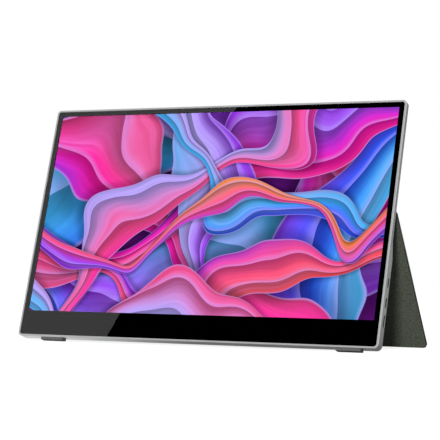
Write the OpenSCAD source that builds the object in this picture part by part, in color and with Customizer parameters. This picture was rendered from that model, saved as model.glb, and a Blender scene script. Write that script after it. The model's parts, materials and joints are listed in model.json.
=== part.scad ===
// Portable monitor with a folding cover, standing on the cover's prop leg.
// Built upright in the monitor's own frame: X to the right, Y from the glass to the back, Z up.
// set_up() then leans it back on its feet and the leg, with the floor at Z = 0, centred in X and Y.
// All sizes are in millimetres.

/* [Screen] */
// Width of the lit area
active_w = 344.2; // [280:0.1:400]
// Height of the lit area
active_h = 193.6; // [170:0.1:230]
// Black border beside the lit area
side_border = 4.9; // [4.2:0.1:12]
// Black border above the lit area
top_border = 4.5; // [3.8:0.1:12]
// Black chin below the lit area
chin_h = 22.9; // [21.5:0.1:40]

/* [Glass and panel layers] */
// Thickness of the cover glass
glass_t = 0.7; // [0.5:0.05:1]
// How far the glass lies below the lip
glass_recess = 0.15; // [0.05:0.05:0.4]
// Gap around the glass and between sliding pieces of the body
fit_gap = 0.1; // [0.05:0.05:0.3]
// Thickness of the border tape and of the clear adhesive
bond_t = 0.2; // [0.1:0.05:0.3]
// Thickness of the liquid crystal cell
cell_t = 0.9; // [0.6:0.05:1]
// How far the cell reaches past the lit area at each side and above
cell_margin = 2.6; // [1.5:0.1:3]
// How far the cell's bonding ledge reaches below the lit area
cell_ledge = 8; // [6:0.5:10]
// Thickness of the diffuser films
film_t = 0.3; // [0.2:0.05:0.4]
// Thickness of the light guide
guide_t = 0.5; // [0.4:0.05:0.6]
// Thickness of the reflector sheet
reflector_t = 0.15; // [0.1:0.05:0.2]
// Thickness of the panel tray's sheet
tray_t = 0.3; // [0.2:0.05:0.35]
// How far the light guide reaches past the lit area
guide_margin = 1.4; // [0.8:0.1:1.6]
// How far the light guide reaches below the lit area
guide_ledge = 2.5; // [2:0.1:3]
// Number of light diodes along the lower edge
led_count = 48; // [24:1:60]
// Gap between the panel's loose layers
layer_gap = 0.05; // [0.03:0.01:0.1]
// Gap between the panel and the frame around it
panel_gap = 0.3; // [0.2:0.05:0.5]
// How far the frame stands behind the panel
frame_step = 0.3; // [0.1:0.05:0.4]

/* [Housing] */
// Width of the lip around the glass, which is also the side wall
lip_w = 1.9; // [1.4:0.1:3]
// Thickness of the back wall
back_wall = 1; // [0.8:0.1:1.2]
// Depth of the thin upper part
thin_t = 5; // [4.9:0.1:7]
// Depth of the thick lower part
hump_t = 9.2; // [9.1:0.1:12]
// Height of the thick lower part
hump_h = 80.4; // [79:0.1:100]
// Height of the slope from the thick part to the thin one
slope_h = 16.5; // [8:0.5:25]
// Outer corner radius seen from the front
corner_r = 4.5; // [3.5:0.1:10]
// Chamfer along the lip
lip_chamfer = 0.4; // [0.2:0.05:0.6]

/* [Feet] */
// Width of a rubber foot
foot_w = 23; // [15:0.5:40]
// Depth of a rubber foot
foot_d = 7; // [5:0.1:7.5]
// Height of a foot below the housing
foot_h = 2.3; // [1.5:0.1:4]
// Distance between the middles of the feet
foot_spacing = 294; // [180:1:305]
// How far right of the monitor's middle the pair of feet sits
foot_shift = 4.6; // [-5:0.1:5]
// Distance from the front to a foot
foot_front = 1.1; // [0.6:0.1:1.6]
// How deep a foot is let into the bottom wall
foot_sink = 0.7; // [0.4:0.1:1]
// Length of the foot's flat that rests on the table
foot_flat = 1.2; // [0.8:0.1:3]

/* [Cover] */
// How far the cover stays inside the housing at each side
cover_inset = 2; // [1:0.1:5]
// Radius of the cover's free corners
cover_r = 4; // [2:0.5:10]
// Thickness of the leather
leather_t = 0.7; // [0.5:0.05:1]
// Thickness of the microfibre lining
lining_t = 0.35; // [0.2:0.05:0.5]
// Thickness of the stiff boards
board_t = 1.8; // [1.7:0.1:2.4]
// Width of the leather turned in around the lining
turn_in = 4; // [2:0.5:8]
// Distance from the top edge down to the fold at the back
hinge_drop = 5.2; // [3:0.1:8]
// Distance from the top edge down to the crease of the leg
crease_drop = 98; // [90:0.5:110]
// Angle between the leg and the monitor's back
stand_angle = 51.6; // [44:0.1:58]
// How far the closed cover reaches past the lower edge
cover_lap = 1.1; // [0.5:0.1:4]
// Gap between the closed cover and the glass
cover_gap = 0.9; // [0.6:0.1:2]
// Gap between the wrapped cover and the top wall
wrap_gap = 0.3; // [0.2:0.05:0.6]
// Distance from a leather face to the line it folds about
fold_offset = 0.15; // [0.1:0.05:0.3]
// Width of the soft strip at the crease
crease_w = 6.5; // [5:0.1:10]
// Height of the strip that is fixed to the monitor's back
strip_h = 85; // [60:1:88]
// Thickness of the steel plate in that strip
plate_t = 0.4; // [0.3:0.05:0.8]
// Thickness of the tape that holds the plate
tape_t = 0.15; // [0.1:0.05:0.3]

/* [Ports on the right wall] */
// Height of the upper round-ended socket
usb_upper_z = 59.3; // [55:0.1:64]
// Height of the lower round-ended socket
usb_lower_z = 41.5; // [39:0.1:45]
// Height of the video socket
hdmi_z = 25.1; // [24:0.1:28]
// Inner width of a round-ended socket
usb_w = 8.34; // [8:0.02:9]
// Inner height of a round-ended socket
usb_h = 2.56; // [2.4:0.02:2.7]
// Inner width of the video socket
hdmi_w = 10.6; // [10:0.1:11]
// Inner height of the video socket
hdmi_h = 2.5; // [2.3:0.02:2.7]
// Sheet thickness of the socket shells
socket_wall = 0.3; // [0.2:0.05:0.35]
// Length of a socket
socket_l = 7.4; // [6.5:0.1:9]
// How far the sockets' mouths lie below the wall's face
socket_recess = 0.2; // [0.1:0.05:0.5]
// Thickness of the tongue in a socket
tongue_t = 0.7; // [0.5:0.05:0.9]
// How far a tongue is narrower than its socket
tongue_side = 1.8; // [1:0.1:2.5]
// Thickness of the plastic base in a socket
tongue_base = 1.8; // [1:0.1:3]

/* [Sound socket and buttons on the left wall] */
// Height of the sound socket
jack_z = 25.1; // [23:0.1:28]
// Bore radius of the sound socket
jack_r = 1.8; // [1.7:0.01:1.85]
// Depth of the bore
jack_l = 13; // [11:0.1:14]
// Height of the power button
power_z = 41.5; // [39:0.1:44]
// Length of the power button
power_l = 8; // [6:0.1:10]
// Height of the menu rocker's middle
rocker_z = 60; // [57:0.1:62]
// Length of the menu rocker
rocker_l = 15; // [12:0.1:18]
// Width of both button caps
key_w = 2.6; // [2:0.1:3]
// How far the caps stand out of the wall
key_proud = 0.4; // [0.2:0.05:0.8]
// Travel of the power button
key_travel = 0.4; // [0.2:0.05:0.45]
// Gap around the caps in their openings
key_gap = 0.15; // [0.1:0.01:0.25]
// Thickness of the flange that keeps a cap inside
flange_t = 0.5; // [0.4:0.05:0.7]
// How far the flange is longer than its cap at each end
flange_reach = 0.6; // [0.5:0.05:1]
// Play of the rocker's flange behind the wall, which its tilt needs
rocker_play = 0.5; // [0.45:0.05:0.8]

/* [Boards] */
// Thickness of the circuit boards
pcb_t = 0.8; // [0.6:0.1:0.9]
// Width of the main board
main_w = 77; // [70:1:90]
// Height of the boards at both walls
main_h = 56; // [54:0.5:58]
// Width of the button board
key_board_w = 18; // [16:0.5:24]
// Height of the boards above the bottom wall
board_rise = 15.5; // [14:0.5:17]
// Space between the panel and the boards for flat cables
cable_space = 0.6; // [0.45:0.05:0.65]
// Distance from a board's edges to its screws
hole_inset = 4; // [3:0.5:5]
// Width of the tin cover over the main chips
can_w = 27; // [24:0.5:30]
// Height of the tin cover over the main chips
can_h = 17; // [15:0.5:20]
// Sheet thickness of the tin cover
can_wall = 0.2; // [0.15:0.05:0.4]
// Thickness of the soft pad on the tin cover
pad_t = 1; // [0.5:0.1:1.4]
// Length of the chin beside the driver board, for screws and magnets
chin_side = 81; // [76:1:100]
// Height of the driver board
driver_h = 9; // [7:0.5:10]
// Height of the driver board above the bottom wall
driver_rise = 2.5; // [1.5:0.1:3]
// Number of flexes between driver board and cell
flex_count = 6; // [3:1:6]
// Width of one flex
flex_w = 22; // [14:1:26]
// Thickness of all flexes
flex_t = 0.1; // [0.08:0.01:0.15]
// Overlap of the flexes on the cell and on the boards
flex_lap = 2.5; // [1.5:0.1:3]
// Width of the flat cable where it leaves the driver board
cable_w = 14; // [10:0.5:20]
// Height of the flat cable's run across to the main board
cable_h = 9; // [7:0.5:9.5]
// Width of the connectors on the boards
plug_w = 7; // [5:0.5:9]
// Edge between a connector and what it sits on
plug_edge = 1; // [0.5:0.1:2]

/* [Speakers] */
// Width of a speaker box
speaker_w = 60; // [50:1:64]
// Height of a speaker box
speaker_h = 24; // [20:1:26]
// Gap between a speaker and the board beside it
speaker_gap = 12; // [6:0.5:25]
// How far the speakers stand above the boards' lower edge
speaker_rise = 6; // [2:0.5:12]
// Rim around a speaker's cone
cone_rim = 4; // [3:0.5:6]
// Thickness of a speaker wire
wire_t = 0.6; // [0.4:0.05:0.8]
// How far the wires and flexes lap onto the main board
lead_lap = 6; // [4:0.5:7]
// Thickness of the dust mesh
mesh_t = 0.1; // [0.08:0.01:0.15]
// Number of sound slots at a speaker
slot_count = 9; // [5:1:13]
// Distance between sound slots
slot_pitch = 3.6; // [3:0.1:4]
// Length of a sound slot
slot_l = 16; // [10:0.5:18]
// Width of a sound slot
slot_w = 1.3; // [0.8:0.1:1.6]

/* [Screws and magnets] */
// Shank radius of the housing screws
screw_r = 1; // [0.8:0.05:1.2]
// Head radius of the housing screws
screw_head_r = 1.9; // [1.7:0.05:2.2]
// Shank radius of the board screws
small_screw_r = 0.8; // [0.6:0.05:0.9]
// Radius of the magnets in the chin and in the leg
chin_magnet_r = 4; // [3:0.1:4.5]
// Thickness of all magnets
magnet_t = 1.5; // [1.2:0.05:1.6]
// Radius of the magnets in the upper board
board_magnet_r = 5; // [4:0.1:6]
// Gap around a magnet in its pocket
magnet_gap = 0.05; // [0.03:0.01:0.1]
// Height of the housing screws above the glass's lower edge
screw_rise = 7; // [5:0.5:8]
// Distance from the side wall to the outer housing screws
screw_outer = 12; // [9:0.5:18]
// Distance from the side wall to the inner housing screws
screw_inner = 65; // [58:0.5:72]
// Height of the chin's magnets above the glass's lower edge
magnet_rise = 7.5; // [6.5:0.1:9]
// Distance from the side wall to the outer chin magnets
magnet_outer = 29; // [24:0.5:34]
// Distance between a pair of chin magnets
magnet_pitch = 20; // [14:0.5:22]

/* [Hidden] */
$fn = 48;
// Gap of a tight fit, and how far a cut runs past the face it cuts
snug = 0.02;
past = 1;
// Space kept free beside the sockets and below the sound socket's board hole, and walls around small parts
socket_clear = 2;
jack_clear = 2.5;
jack_wall = 0.6;
boss_wall = 1.2;
post_wall = 1.3;
screw_bite = 1.2;
stud_reach = 0.25;
// Where the tin cover sits on the main board, and the inset of what lies under and on it
can_side = 12;
can_rise = 28;
can_inset = 2;

// Outer size of the housing and the pocket inside its walls
rim = lip_w + fit_gap;
glass_w = active_w + 2 * side_border;
glass_h = chin_h + active_h + top_border;
body_w = glass_w + 2 * rim;
body_h = glass_h + 2 * rim;
active_z = rim + chin_h;
hump_in = hump_t - back_wall;
thin_in = thin_t - back_wall;

// Depths of the layers behind the glass, counted from the lip
glass_back = glass_recess + glass_t;
cell_front = glass_back + bond_t;
cell_back = cell_front + cell_t;
film_front = cell_back + layer_gap;
guide_front = film_front + film_t;
reflector_front = guide_front + guide_t;
reflector_back = reflector_front + reflector_t;
tray_back = reflector_back + layer_gap + tray_t;
frame_back = tray_back + frame_step;
cell_w = active_w + 2 * cell_margin;
cell_z = active_z - cell_ledge;
cell_top = active_z + active_h + cell_margin;
guide_z = active_z - guide_ledge;
guide_top = active_z + active_h + guide_margin;
led_d = 1;
led_strip = 0.8;
tray_z = guide_z - led_d - led_strip - layer_gap;
pocket_x = body_w / 2 - lip_w;
chin_block = pocket_x - chin_side;
driver_w = 2 * (chin_block - past);
driver_z = rim + driver_rise;
driver_front = cell_back + flex_t;
driver_back = driver_front + pcb_t;

// Boards in the thick part
board_front = tray_back + cable_space;
board_back = board_front + pcb_t;
cable_front = tray_back + fit_gap;
board_z = rim + board_rise;
main_x = pocket_x - fit_gap - main_w;
key_board_x = fit_gap - pocket_x;
usb_y = board_back + usb_h / 2 + socket_wall;
hdmi_y = board_back + hdmi_h / 2 + socket_wall;
socket_x = body_w / 2 - socket_recess;
jack_y = (frame_back + hump_in) / 2;
jack_outer_r = (hump_in - frame_back) / 2 - snug;
jack_side = jack_outer_r + jack_wall;
key_y = (board_back + hump_in) / 2;
stud_w = 1;
stud_x = rocker_play + flange_t + stud_reach - pocket_x;
switch_x = stud_x + key_travel + snug;
board_holes = [for (x = [main_x + hole_inset, socket_x - socket_l - hole_inset - socket_clear])
               for (z = [board_z + hole_inset, board_z + main_h - hole_inset]) [x, z]];
key_hole_inset = 3;
key_holes = [for (z = [jack_z + jack_side + jack_clear, board_z + main_h - hole_inset])
             [key_board_x + key_board_w - key_hole_inset, z]];
boss_r = small_screw_r + boss_wall;
cable_top = board_z + cable_h + lead_lap;
can_x = main_x + can_side;
can_z = board_z + can_rise;
pad_front = hump_in - pad_t;
speaker_z = board_z + speaker_rise;
speaker_front = board_front - 0.2;
speaker_back = hump_in - mesh_t;
speaker_left_x = key_board_x + key_board_w + speaker_gap + speaker_w / 2;
speaker_right_x = main_x - speaker_gap - speaker_w / 2;

// Screws and magnets in the chin
screw_z = rim + screw_rise;
screw_x = [for (s = [-1, 1]) for (d = [screw_inner, screw_outer]) s * (pocket_x - d)];
screw_post_r = screw_r + post_wall;
screw_tip = cell_front + screw_bite;
magnet_z = rim + magnet_rise;
magnet_x = [for (s = [-1, 1]) for (d = [magnet_outer + magnet_pitch, magnet_outer]) s * (pocket_x - d)];

// The cover's chain of folds, from the strip on the back to the free edge
cover_w = body_w - 2 * cover_inset;
strip_face = thin_t + tape_t + plate_t + leather_t;
fold_y = strip_face + fold_offset;
flap_y = fold_y + fold_offset;
upper_in = flap_y + leather_t;
leg_in = fold_offset + leather_t;
soft_t = leather_t + lining_t;
flap_t = leather_t + board_t + lining_t;
wrap_z = body_h + wrap_gap + soft_t + fold_offset;
riser_l = wrap_z - (body_h - hinge_drop);
spine_l = fold_y + fold_offset + flap_t + cover_gap;
back_z = body_h - hinge_drop;
top_z = back_z - riser_l;
front_z = top_z - spine_l;
crease_z = body_h - crease_drop;
upper_l = front_z - crease_z;
leg_l = wrap_z + cover_lap - upper_l;
end_gap = 0.1;
soft_gap = fold_offset + soft_t + end_gap;
crease_bend_l = 1;
leg_top = -crease_w - 2 * end_gap;
strip_top = 2 * end_gap - crease_w;
hem = 2;
tape_inset = 6;

// Lean of the whole object, from the feet's flat and the leg's lower edge
foot_y = foot_front + foot_d - foot_flat;
leg_end_y = fold_y + leg_l * sin(stand_angle) + fold_offset * cos(stand_angle);
leg_end_z = crease_z - leg_l * cos(stand_angle) + fold_offset * sin(stand_angle);
tilt = atan2(leg_end_z + foot_h, leg_end_y - foot_y);
leg_back_y = leg_end_y + flap_t * cos(stand_angle);
leg_back_z = leg_end_z + flap_t * sin(stand_angle);
depth = leg_back_y * cos(tilt) + leg_back_z * sin(tilt);
lift = foot_y * sin(tilt) + foot_h * cos(tilt);

// Places the upright monitor on the floor, leaning on its leg
module set_up() {
    translate([0, -depth / 2, lift]) rotate([-tilt, 0, 0]) children();
}

// Turns a piece of the leg, drawn hanging down from the crease line, to the stand angle
module on_crease() {
    translate([0, fold_y, crease_z]) rotate([stand_angle, 0, 0]) children();
}

// Extrudes an outline drawn in X and Z from depth y0 to depth y1
module slab(y0, y1) {
    translate([0, y1, 0]) rotate([90, 0, 0]) linear_extrude(y1 - y0) children();
}

// Extrudes an outline drawn in Y and Z from x0 to x1
module across(x0, x1) {
    translate([x0, 0, 0]) rotate([90, 0, 90]) linear_extrude(x1 - x0) children();
}

// Rectangle from one corner to the other
module rect(x0, z0, x1, z1) {
    translate([x0, z0]) square([x1 - x0, z1 - z0]);
}

// Rounded rectangle centred in X, standing on z0
module rounded(w, h, r, z0) {
    rect(r - w / 2, z0, w / 2 - r, z0 + h);
    rect(-w / 2, z0 + r, w / 2, z0 + h - r);
    for (x = [r - w / 2, w / 2 - r]) for (z = [z0 + r, z0 + h - r]) translate([x, z]) circle(r);
}

// Outline with round ends, w long along its second axis and t across, centred on a point
module pill(t, w) {
    r = t / 2;
    rect(-r, r - w / 2, r, w / 2 - r);
    for (z = [r - w / 2, w / 2 - r]) translate([0, z]) circle(r);
}

// Full-width band of the cover between two depths and two heights
module band(y0, y1, z0, z1) {
    across(-cover_w / 2, cover_w / 2) rect(y0, z0, y1, z1);
}

// Side profile of the housing, grown or shrunk by its walls
module housing_profile() {
    c = lip_chamfer;
    polygon([[c, 0], [hump_t - c, 0], [hump_t, c], [hump_t, hump_h], [thin_t, hump_h + slope_h],
             [thin_t, body_h - c], [thin_t - c, body_h], [c, body_h], [0, body_h - c], [0, c]]);
}

// Hollow inside the housing, open at the front
module housing_hollow() {
    intersection() {
        slab(-past, hump_in) rounded(body_w - 2 * lip_w, body_h - 2 * lip_w, corner_r - lip_w, lip_w);
        across(-body_w / 2, body_w / 2)
            polygon([[-past, 0], [hump_in, 0], [hump_in, hump_h - back_wall],
                     [thin_in, hump_h + slope_h - back_wall], [thin_in, body_h], [-past, body_h]]);
    }
}

// Chamfered cross-section that trims the lip at both side walls
module lip_trim() {
    c = lip_chamfer;
    x = body_w / 2;
    translate([0, 0, -past]) linear_extrude(body_h + 2 * past)
        polygon([[c - x, 0], [x - c, 0], [x, c], [x, hump_t], [-x, hump_t], [-x, c]]);
}

// Outline of the video socket, wide at the back and narrow at the front, grown by g
module hdmi_outline(g) {
    w = hdmi_w / 2 + g;
    h = hdmi_h / 2 + g;
    cut = 1;
    polygon([[-h, cut - w], [-h, w - cut], [0, w], [h, w], [h, -w], [0, -w]]);
}

// Openings in the right wall for the sockets
module port_openings() {
    g = socket_wall + fit_gap;
    across(pocket_x - past, body_w / 2 + past) {
        for (z = [usb_upper_z, usb_lower_z]) translate([usb_y, z]) pill(usb_h + 2 * g, usb_w + 2 * g);
        translate([hdmi_y, hdmi_z]) hdmi_outline(g);
    }
}

// Openings in the left wall for the sound socket and the buttons
module key_openings() {
    across(-body_w / 2 - past, past - pocket_x) {
        translate([jack_y, jack_z]) circle(jack_outer_r + snug);
        translate([key_y, power_z]) pill(key_w + 2 * key_gap, power_l + 2 * key_gap);
        translate([key_y, rocker_z]) pill(key_w + 2 * key_gap, rocker_l + 2 * key_gap);
    }
}

// Sound slots of one speaker in the back wall
module sound_slots(x) {
    for (i = [0 : slot_count - 1])
        translate([x + (i - (slot_count - 1) / 2) * slot_pitch, 0, speaker_z + speaker_h / 2])
            slab(hump_in - past, hump_t + past) pill(slot_w, slot_l);
}

// Countersunk screw drawn along Y, its head flush with the back
module countersunk(r, head_r, y_tip) {
    translate([0, hump_t, 0]) rotate([90, 0, 0]) cylinder(h = head_r - r, r1 = head_r, r2 = r);
    translate([0, hump_t - snug, 0]) rotate([90, 0, 0]) cylinder(h = hump_t - snug - y_tip, r = r);
}

// Both recesses or both blocks of the feet, grown sideways by g
module foot_blocks(g, z0, z1) {
    for (s = [-1, 1])
        translate([foot_shift + s * foot_spacing / 2 - foot_w / 2 - g, foot_front - g, z0])
            cube([foot_w + 2 * g, foot_d + 2 * g, z1 - z0]);
}

module rear_housing() {
    color("silver") set_up() difference() {
        union() {
            difference() {
                intersection() {
                    slab(0, hump_t) rounded(body_w, body_h, corner_r, 0);
                    across(-body_w / 2, body_w / 2) housing_profile();
                    lip_trim();
                }
                housing_hollow();
            }
            for (p = concat(board_holes, key_holes))
                translate([p[0], hump_in + back_wall / 2, p[1]]) rotate([90, 0, 0])
                    cylinder(h = hump_in + back_wall / 2 - board_back, r = boss_r);
        }
        for (p = concat(board_holes, key_holes))
            translate([p[0], hump_in - back_wall / 2, p[1]]) rotate([90, 0, 0])
                cylinder(h = hump_in, r = small_screw_r + snug);
        for (x = screw_x)
            translate([x, 0, screw_z])
                countersunk(screw_r + fit_gap, screw_head_r + fit_gap, hump_in - past);
        port_openings();
        key_openings();
        sound_slots(speaker_left_x);
        sound_slots(speaker_right_x);
        foot_blocks(fit_gap, -past, foot_sink + fit_gap);
    }
}

// Moulded frame that carries the panel and snaps into the housing
module mid_frame() {
    w = body_w - 2 * lip_w - 2 * fit_gap;
    x = cell_w / 2 + panel_gap;
    color([0.12, 0.12, 0.13]) set_up() difference() {
        union() {
            slab(cell_front, frame_back) difference() {
                rounded(w, body_h - 2 * rim, corner_r - rim, rim);
                rect(-x, cell_z - panel_gap, x, cell_top + panel_gap);
                rect(-chin_block, driver_z - past, chin_block, cell_z);
            }
            for (x = screw_x) translate([x, hump_in - fit_gap, screw_z]) rotate([90, 0, 0])
                cylinder(h = hump_in - fit_gap - frame_back + past, r = screw_post_r);
        }
        for (x = screw_x) translate([x, hump_t, screw_z]) rotate([90, 0, 0])
            cylinder(h = hump_t - screw_tip + layer_gap, r = screw_r + snug);
        for (x = magnet_x)
            translate([x, cell_front + magnet_t + 2 * magnet_gap, magnet_z]) rotate([90, 0, 0])
                cylinder(h = magnet_t + past, r = chin_magnet_r + magnet_gap);
    }
}

module cover_glass() {
    color([0.05, 0.05, 0.06]) set_up() slab(glass_recess, glass_back)
        rounded(glass_w, glass_h, corner_r - rim, rim);
}

// Black tape that hides the border and bonds the glass to the frame
module border_tape() {
    tape_edge = 0.3;
    color([0.02, 0.02, 0.02]) set_up() slab(glass_back, cell_front) difference() {
        rounded(glass_w - 2 * tape_edge, glass_h - 2 * tape_edge, corner_r - rim, rim + tape_edge);
        rect(-active_w / 2, active_z, active_w / 2, active_z + active_h);
    }
}

// Optically clear sheet between the glass and the lit area
module clear_adhesive() {
    x = active_w / 2 - fit_gap;
    color([0.8, 0.85, 0.9]) set_up() slab(glass_back, cell_front)
        rect(-x, active_z + fit_gap, x, active_z + active_h - fit_gap);
}

module lcd_cell() {
    color([0.6, 0.2, 0.7]) set_up() slab(cell_front, cell_back)
        rect(-cell_w / 2, cell_z, cell_w / 2, cell_top);
}

// Sheet of the backlight, from depth y0 to y1
module backlight_sheet(y0, y1) {
    x = active_w / 2 + guide_margin;
    set_up() slab(y0, y1) rect(-x, guide_z, x, guide_top);
}

module diffuser_films() {
    color("white") backlight_sheet(film_front, guide_front);
}

module light_guide() {
    color([0.85, 0.92, 0.95]) backlight_sheet(guide_front, reflector_front);
}

module reflector_sheet() {
    color([0.95, 0.95, 0.95]) backlight_sheet(reflector_front, reflector_back);
}

// Strip of light diodes that shines up into the light guide
module led_bar() {
    pitch = active_w / led_count;
    color([0.95, 0.9, 0.6]) set_up() {
        slab(guide_front, reflector_front)
            rect(-active_w / 2, guide_z - led_d - led_strip, active_w / 2, guide_z - led_d);
        for (i = [0 : led_count - 1])
            translate([(i + 0.25) * pitch - active_w / 2, guide_front + layer_gap, guide_z - led_d])
                cube([pitch / 2, guide_t - 2 * layer_gap, led_d]);
    }
}

// Sheet metal tray behind the backlight, open along its lower edge
module panel_tray() {
    x = cell_w / 2;
    color([0.7, 0.71, 0.72]) set_up() difference() {
        slab(cell_back + snug, tray_back) rect(-x, tray_z, x, cell_top);
        slab(0, reflector_back + layer_gap) rect(tray_t - x, tray_z - past, x - tray_t, cell_top - tray_t);
    }
}

// Long board in the chin that drives the cell, with the connector for the flat cable
module driver_board() {
    x = driver_w / 2;
    plug_x = x - cable_w - 3 * plug_edge;
    color([0.05, 0.3, 0.15]) set_up() {
        slab(driver_front, driver_back) rect(-x, driver_z, x, driver_z + driver_h);
        slab(driver_back - layer_gap, cable_front)
            rect(plug_x, driver_z + plug_edge, x - plug_edge, driver_z + driver_h / 2);
    }
}

module panel_flexes() {
    pitch = driver_w / flex_count;
    color([0.75, 0.5, 0.15]) set_up() slab(cell_back, driver_front)
        for (i = [0 : flex_count - 1])
            translate([(i + 0.5) * pitch - driver_w / 2, 0])
                rect(-flex_w / 2, driver_z + driver_h - flex_lap, flex_w / 2, cell_z + flex_lap);
}

// Flat cable from the driver board to the main board
module display_cable() {
    x = driver_w / 2 - cable_w - 2 * plug_edge;
    color([0.15, 0.15, 0.17]) set_up() slab(cable_front, cable_front + flex_t) {
        rect(x, driver_z + plug_edge, x + cable_w, cable_top);
        rect(x, cable_top - cable_h, main_x + plug_w + 2 * plug_edge, cable_top);
    }
}

module main_board() {
    plug_x = main_x + plug_edge;
    color([0.05, 0.25, 0.12]) set_up() {
        difference() {
            slab(board_front, board_back) rect(main_x, board_z, main_x + main_w, board_z + main_h);
            for (p = board_holes) translate([p[0], board_back + past, p[1]]) rotate([90, 0, 0])
                cylinder(h = pcb_t + 2 * past, r = small_screw_r + fit_gap);
        }
        slab(cable_front + flex_t, board_front + layer_gap)
            rect(plug_x, cable_top - cable_h + plug_edge, plug_x + plug_w, cable_top - plug_edge);
    }
}

// Block on the main board, with its lower left corner at [x, z]
module chip(x, z, w, h, t) {
    translate([x, board_back, z]) cube([w, t, h]);
}

module board_chips() {
    memory_w = 8;
    scaler_w = can_w - memory_w - 3 * can_inset;
    chip_h = can_h - 2 * can_inset;
    coil = 6;
    coil_drop = 10;
    socket_chip = 5;
    socket_chip_x = can_x + can_w + 6;
    color([0.08, 0.08, 0.09]) set_up() {
        chip(can_x + can_inset, can_z + can_inset, scaler_w, chip_h, 1.2);
        chip(can_x + can_w - can_inset - memory_w, can_z + can_inset + 1, memory_w, chip_h - 2, 1);
        for (i = [0, 1]) chip(can_x + i * (coil + 2), can_z - coil - coil_drop, coil, coil, 2.6);
        for (z = [usb_upper_z, usb_lower_z, hdmi_z])
            chip(socket_chip_x, z - socket_chip / 2, socket_chip, socket_chip, 0.9);
    }
}

// Tin cover over the scaler chip and its memory
module shield_can() {
    h = pad_front - board_back;
    color([0.75, 0.76, 0.78]) set_up() translate([can_x, board_back, can_z]) difference() {
        cube([can_w, h, can_h]);
        translate([can_wall, -past, can_wall])
            cube([can_w - 2 * can_wall, h + past - can_wall, can_h - 2 * can_wall]);
    }
}

module heat_pad() {
    color([0.6, 0.65, 0.75]) set_up() translate([can_x + can_inset, pad_front, can_z + can_inset])
        cube([can_w - 2 * can_inset, pad_t, can_h - 2 * can_inset]);
}

// Round-ended socket shell at height z
module usb_socket(z) {
    color([0.8, 0.8, 0.82]) set_up() across(socket_x - socket_l, socket_x) translate([usb_y, z])
        difference() {
            pill(usb_h + 2 * socket_wall, usb_w + 2 * socket_wall);
            pill(usb_h, usb_w);
        }
}

module usb_socket_upper() {
    usb_socket(usb_upper_z);
}

module usb_socket_lower() {
    usb_socket(usb_lower_z);
}

module hdmi_socket() {
    color([0.8, 0.8, 0.82]) set_up() across(socket_x - socket_l, socket_x) translate([hdmi_y, hdmi_z])
        difference() {
            hdmi_outline(socket_wall);
            hdmi_outline(0);
        }
}

// Plastic bases and tongues inside the three sockets
module socket_tongues() {
    x = socket_x - socket_l;
    tip = socket_x - 1;
    usb_half = (usb_w - tongue_side) / 2;
    hdmi_half = (hdmi_w - tongue_side) / 2;
    color([0.1, 0.1, 0.1]) set_up() {
        for (z = [usb_upper_z, usb_lower_z]) translate([0, usb_y, z]) {
            across(x, x + tongue_base) pill(usb_h, usb_w);
            across(x, tip) rect(-tongue_t / 2, -usb_half, tongue_t / 2, usb_half);
        }
        translate([0, hdmi_y, hdmi_z]) {
            across(x, x + tongue_base) hdmi_outline(0);
            across(x, tip) rect(0, -hdmi_half, tongue_t, hdmi_half);
        }
    }
}

// Sound socket with its bore along X, its nose in the left wall
module audio_jack() {
    r = jack_outer_r;
    x = -body_w / 2;
    color([0.1, 0.1, 0.1]) set_up() translate([0, jack_y, jack_z]) difference() {
        union() {
            translate([x, 0, 0]) rotate([0, 90, 0]) cylinder(h = lip_w + past, r = r);
            across(fit_gap - pocket_x, fit_gap - pocket_x + jack_l) rect(-r, -jack_side, r, jack_side);
        }
        translate([x - past, 0, 0]) rotate([0, 90, 0]) cylinder(h = jack_l + past, r = jack_r);
    }
}

// Small board for the sound socket and the switches
module button_board() {
    slot = jack_side + fit_gap;
    color([0.05, 0.25, 0.12]) set_up() difference() {
        slab(board_front, board_back) difference() {
            rect(key_board_x, board_z, key_board_x + key_board_w, board_z + main_h);
            rect(key_board_x - past, jack_z - slot, key_board_x + jack_l + fit_gap, jack_z + slot);
        }
        for (p = key_holes) translate([p[0], board_back + past, p[1]]) rotate([90, 0, 0])
            cylinder(h = pcb_t + 2 * past, r = small_screw_r + fit_gap);
    }
}

// Three switches: one behind the power button and one behind each end of the rocker
module tact_switches() {
    half = 2;
    body_l = 3;
    plunger_l = 0.9;
    body_x = switch_x + plunger_l;
    color([0.2, 0.2, 0.2]) set_up() for (z = [power_z, rocker_z - rocker_l / 3, rocker_z + rocker_l / 3])
        translate([0, 0, z]) {
            across(body_x, body_x + body_l) rect(board_back, -half, hump_in - 4 * fit_gap, half);
            across(switch_x, body_x + layer_gap) translate([key_y, 0]) square(stud_w, center = true);
        }
}

// Flat cable from the button board to the main board
module button_flex() {
    z = board_z + main_h - hole_inset - lead_lap;
    color([0.75, 0.5, 0.15]) set_up() slab(board_front - flex_t, board_front)
        rect(key_board_x + key_board_w - lead_lap, z, main_x + lead_lap, z + plug_w / 2);
}

// Cap through the left wall, with a flange that keeps it inside and studs that reach for the switches
module key_cap(z, length, play, studs) {
    x = play - pocket_x;
    half_y = (hump_in - board_back) / 2 - fit_gap;
    half_z = length / 2 + flange_reach;
    translate([0, key_y, z]) {
        across(-body_w / 2 - key_proud, x) pill(key_w, length);
        across(x, x + flange_t) rect(-half_y, -half_z, half_y, half_z);
        for (s = studs) across(x, stud_x) translate([0, s]) square(stud_w, center = true);
    }
}

module power_button() {
    color([0.7, 0.71, 0.72]) set_up() key_cap(power_z, power_l, snug, [0]);
}

module menu_rocker() {
    color([0.7, 0.71, 0.72]) set_up()
        key_cap(rocker_z, rocker_l, rocker_play, [-rocker_l / 3, rocker_l / 3]);
}

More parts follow.
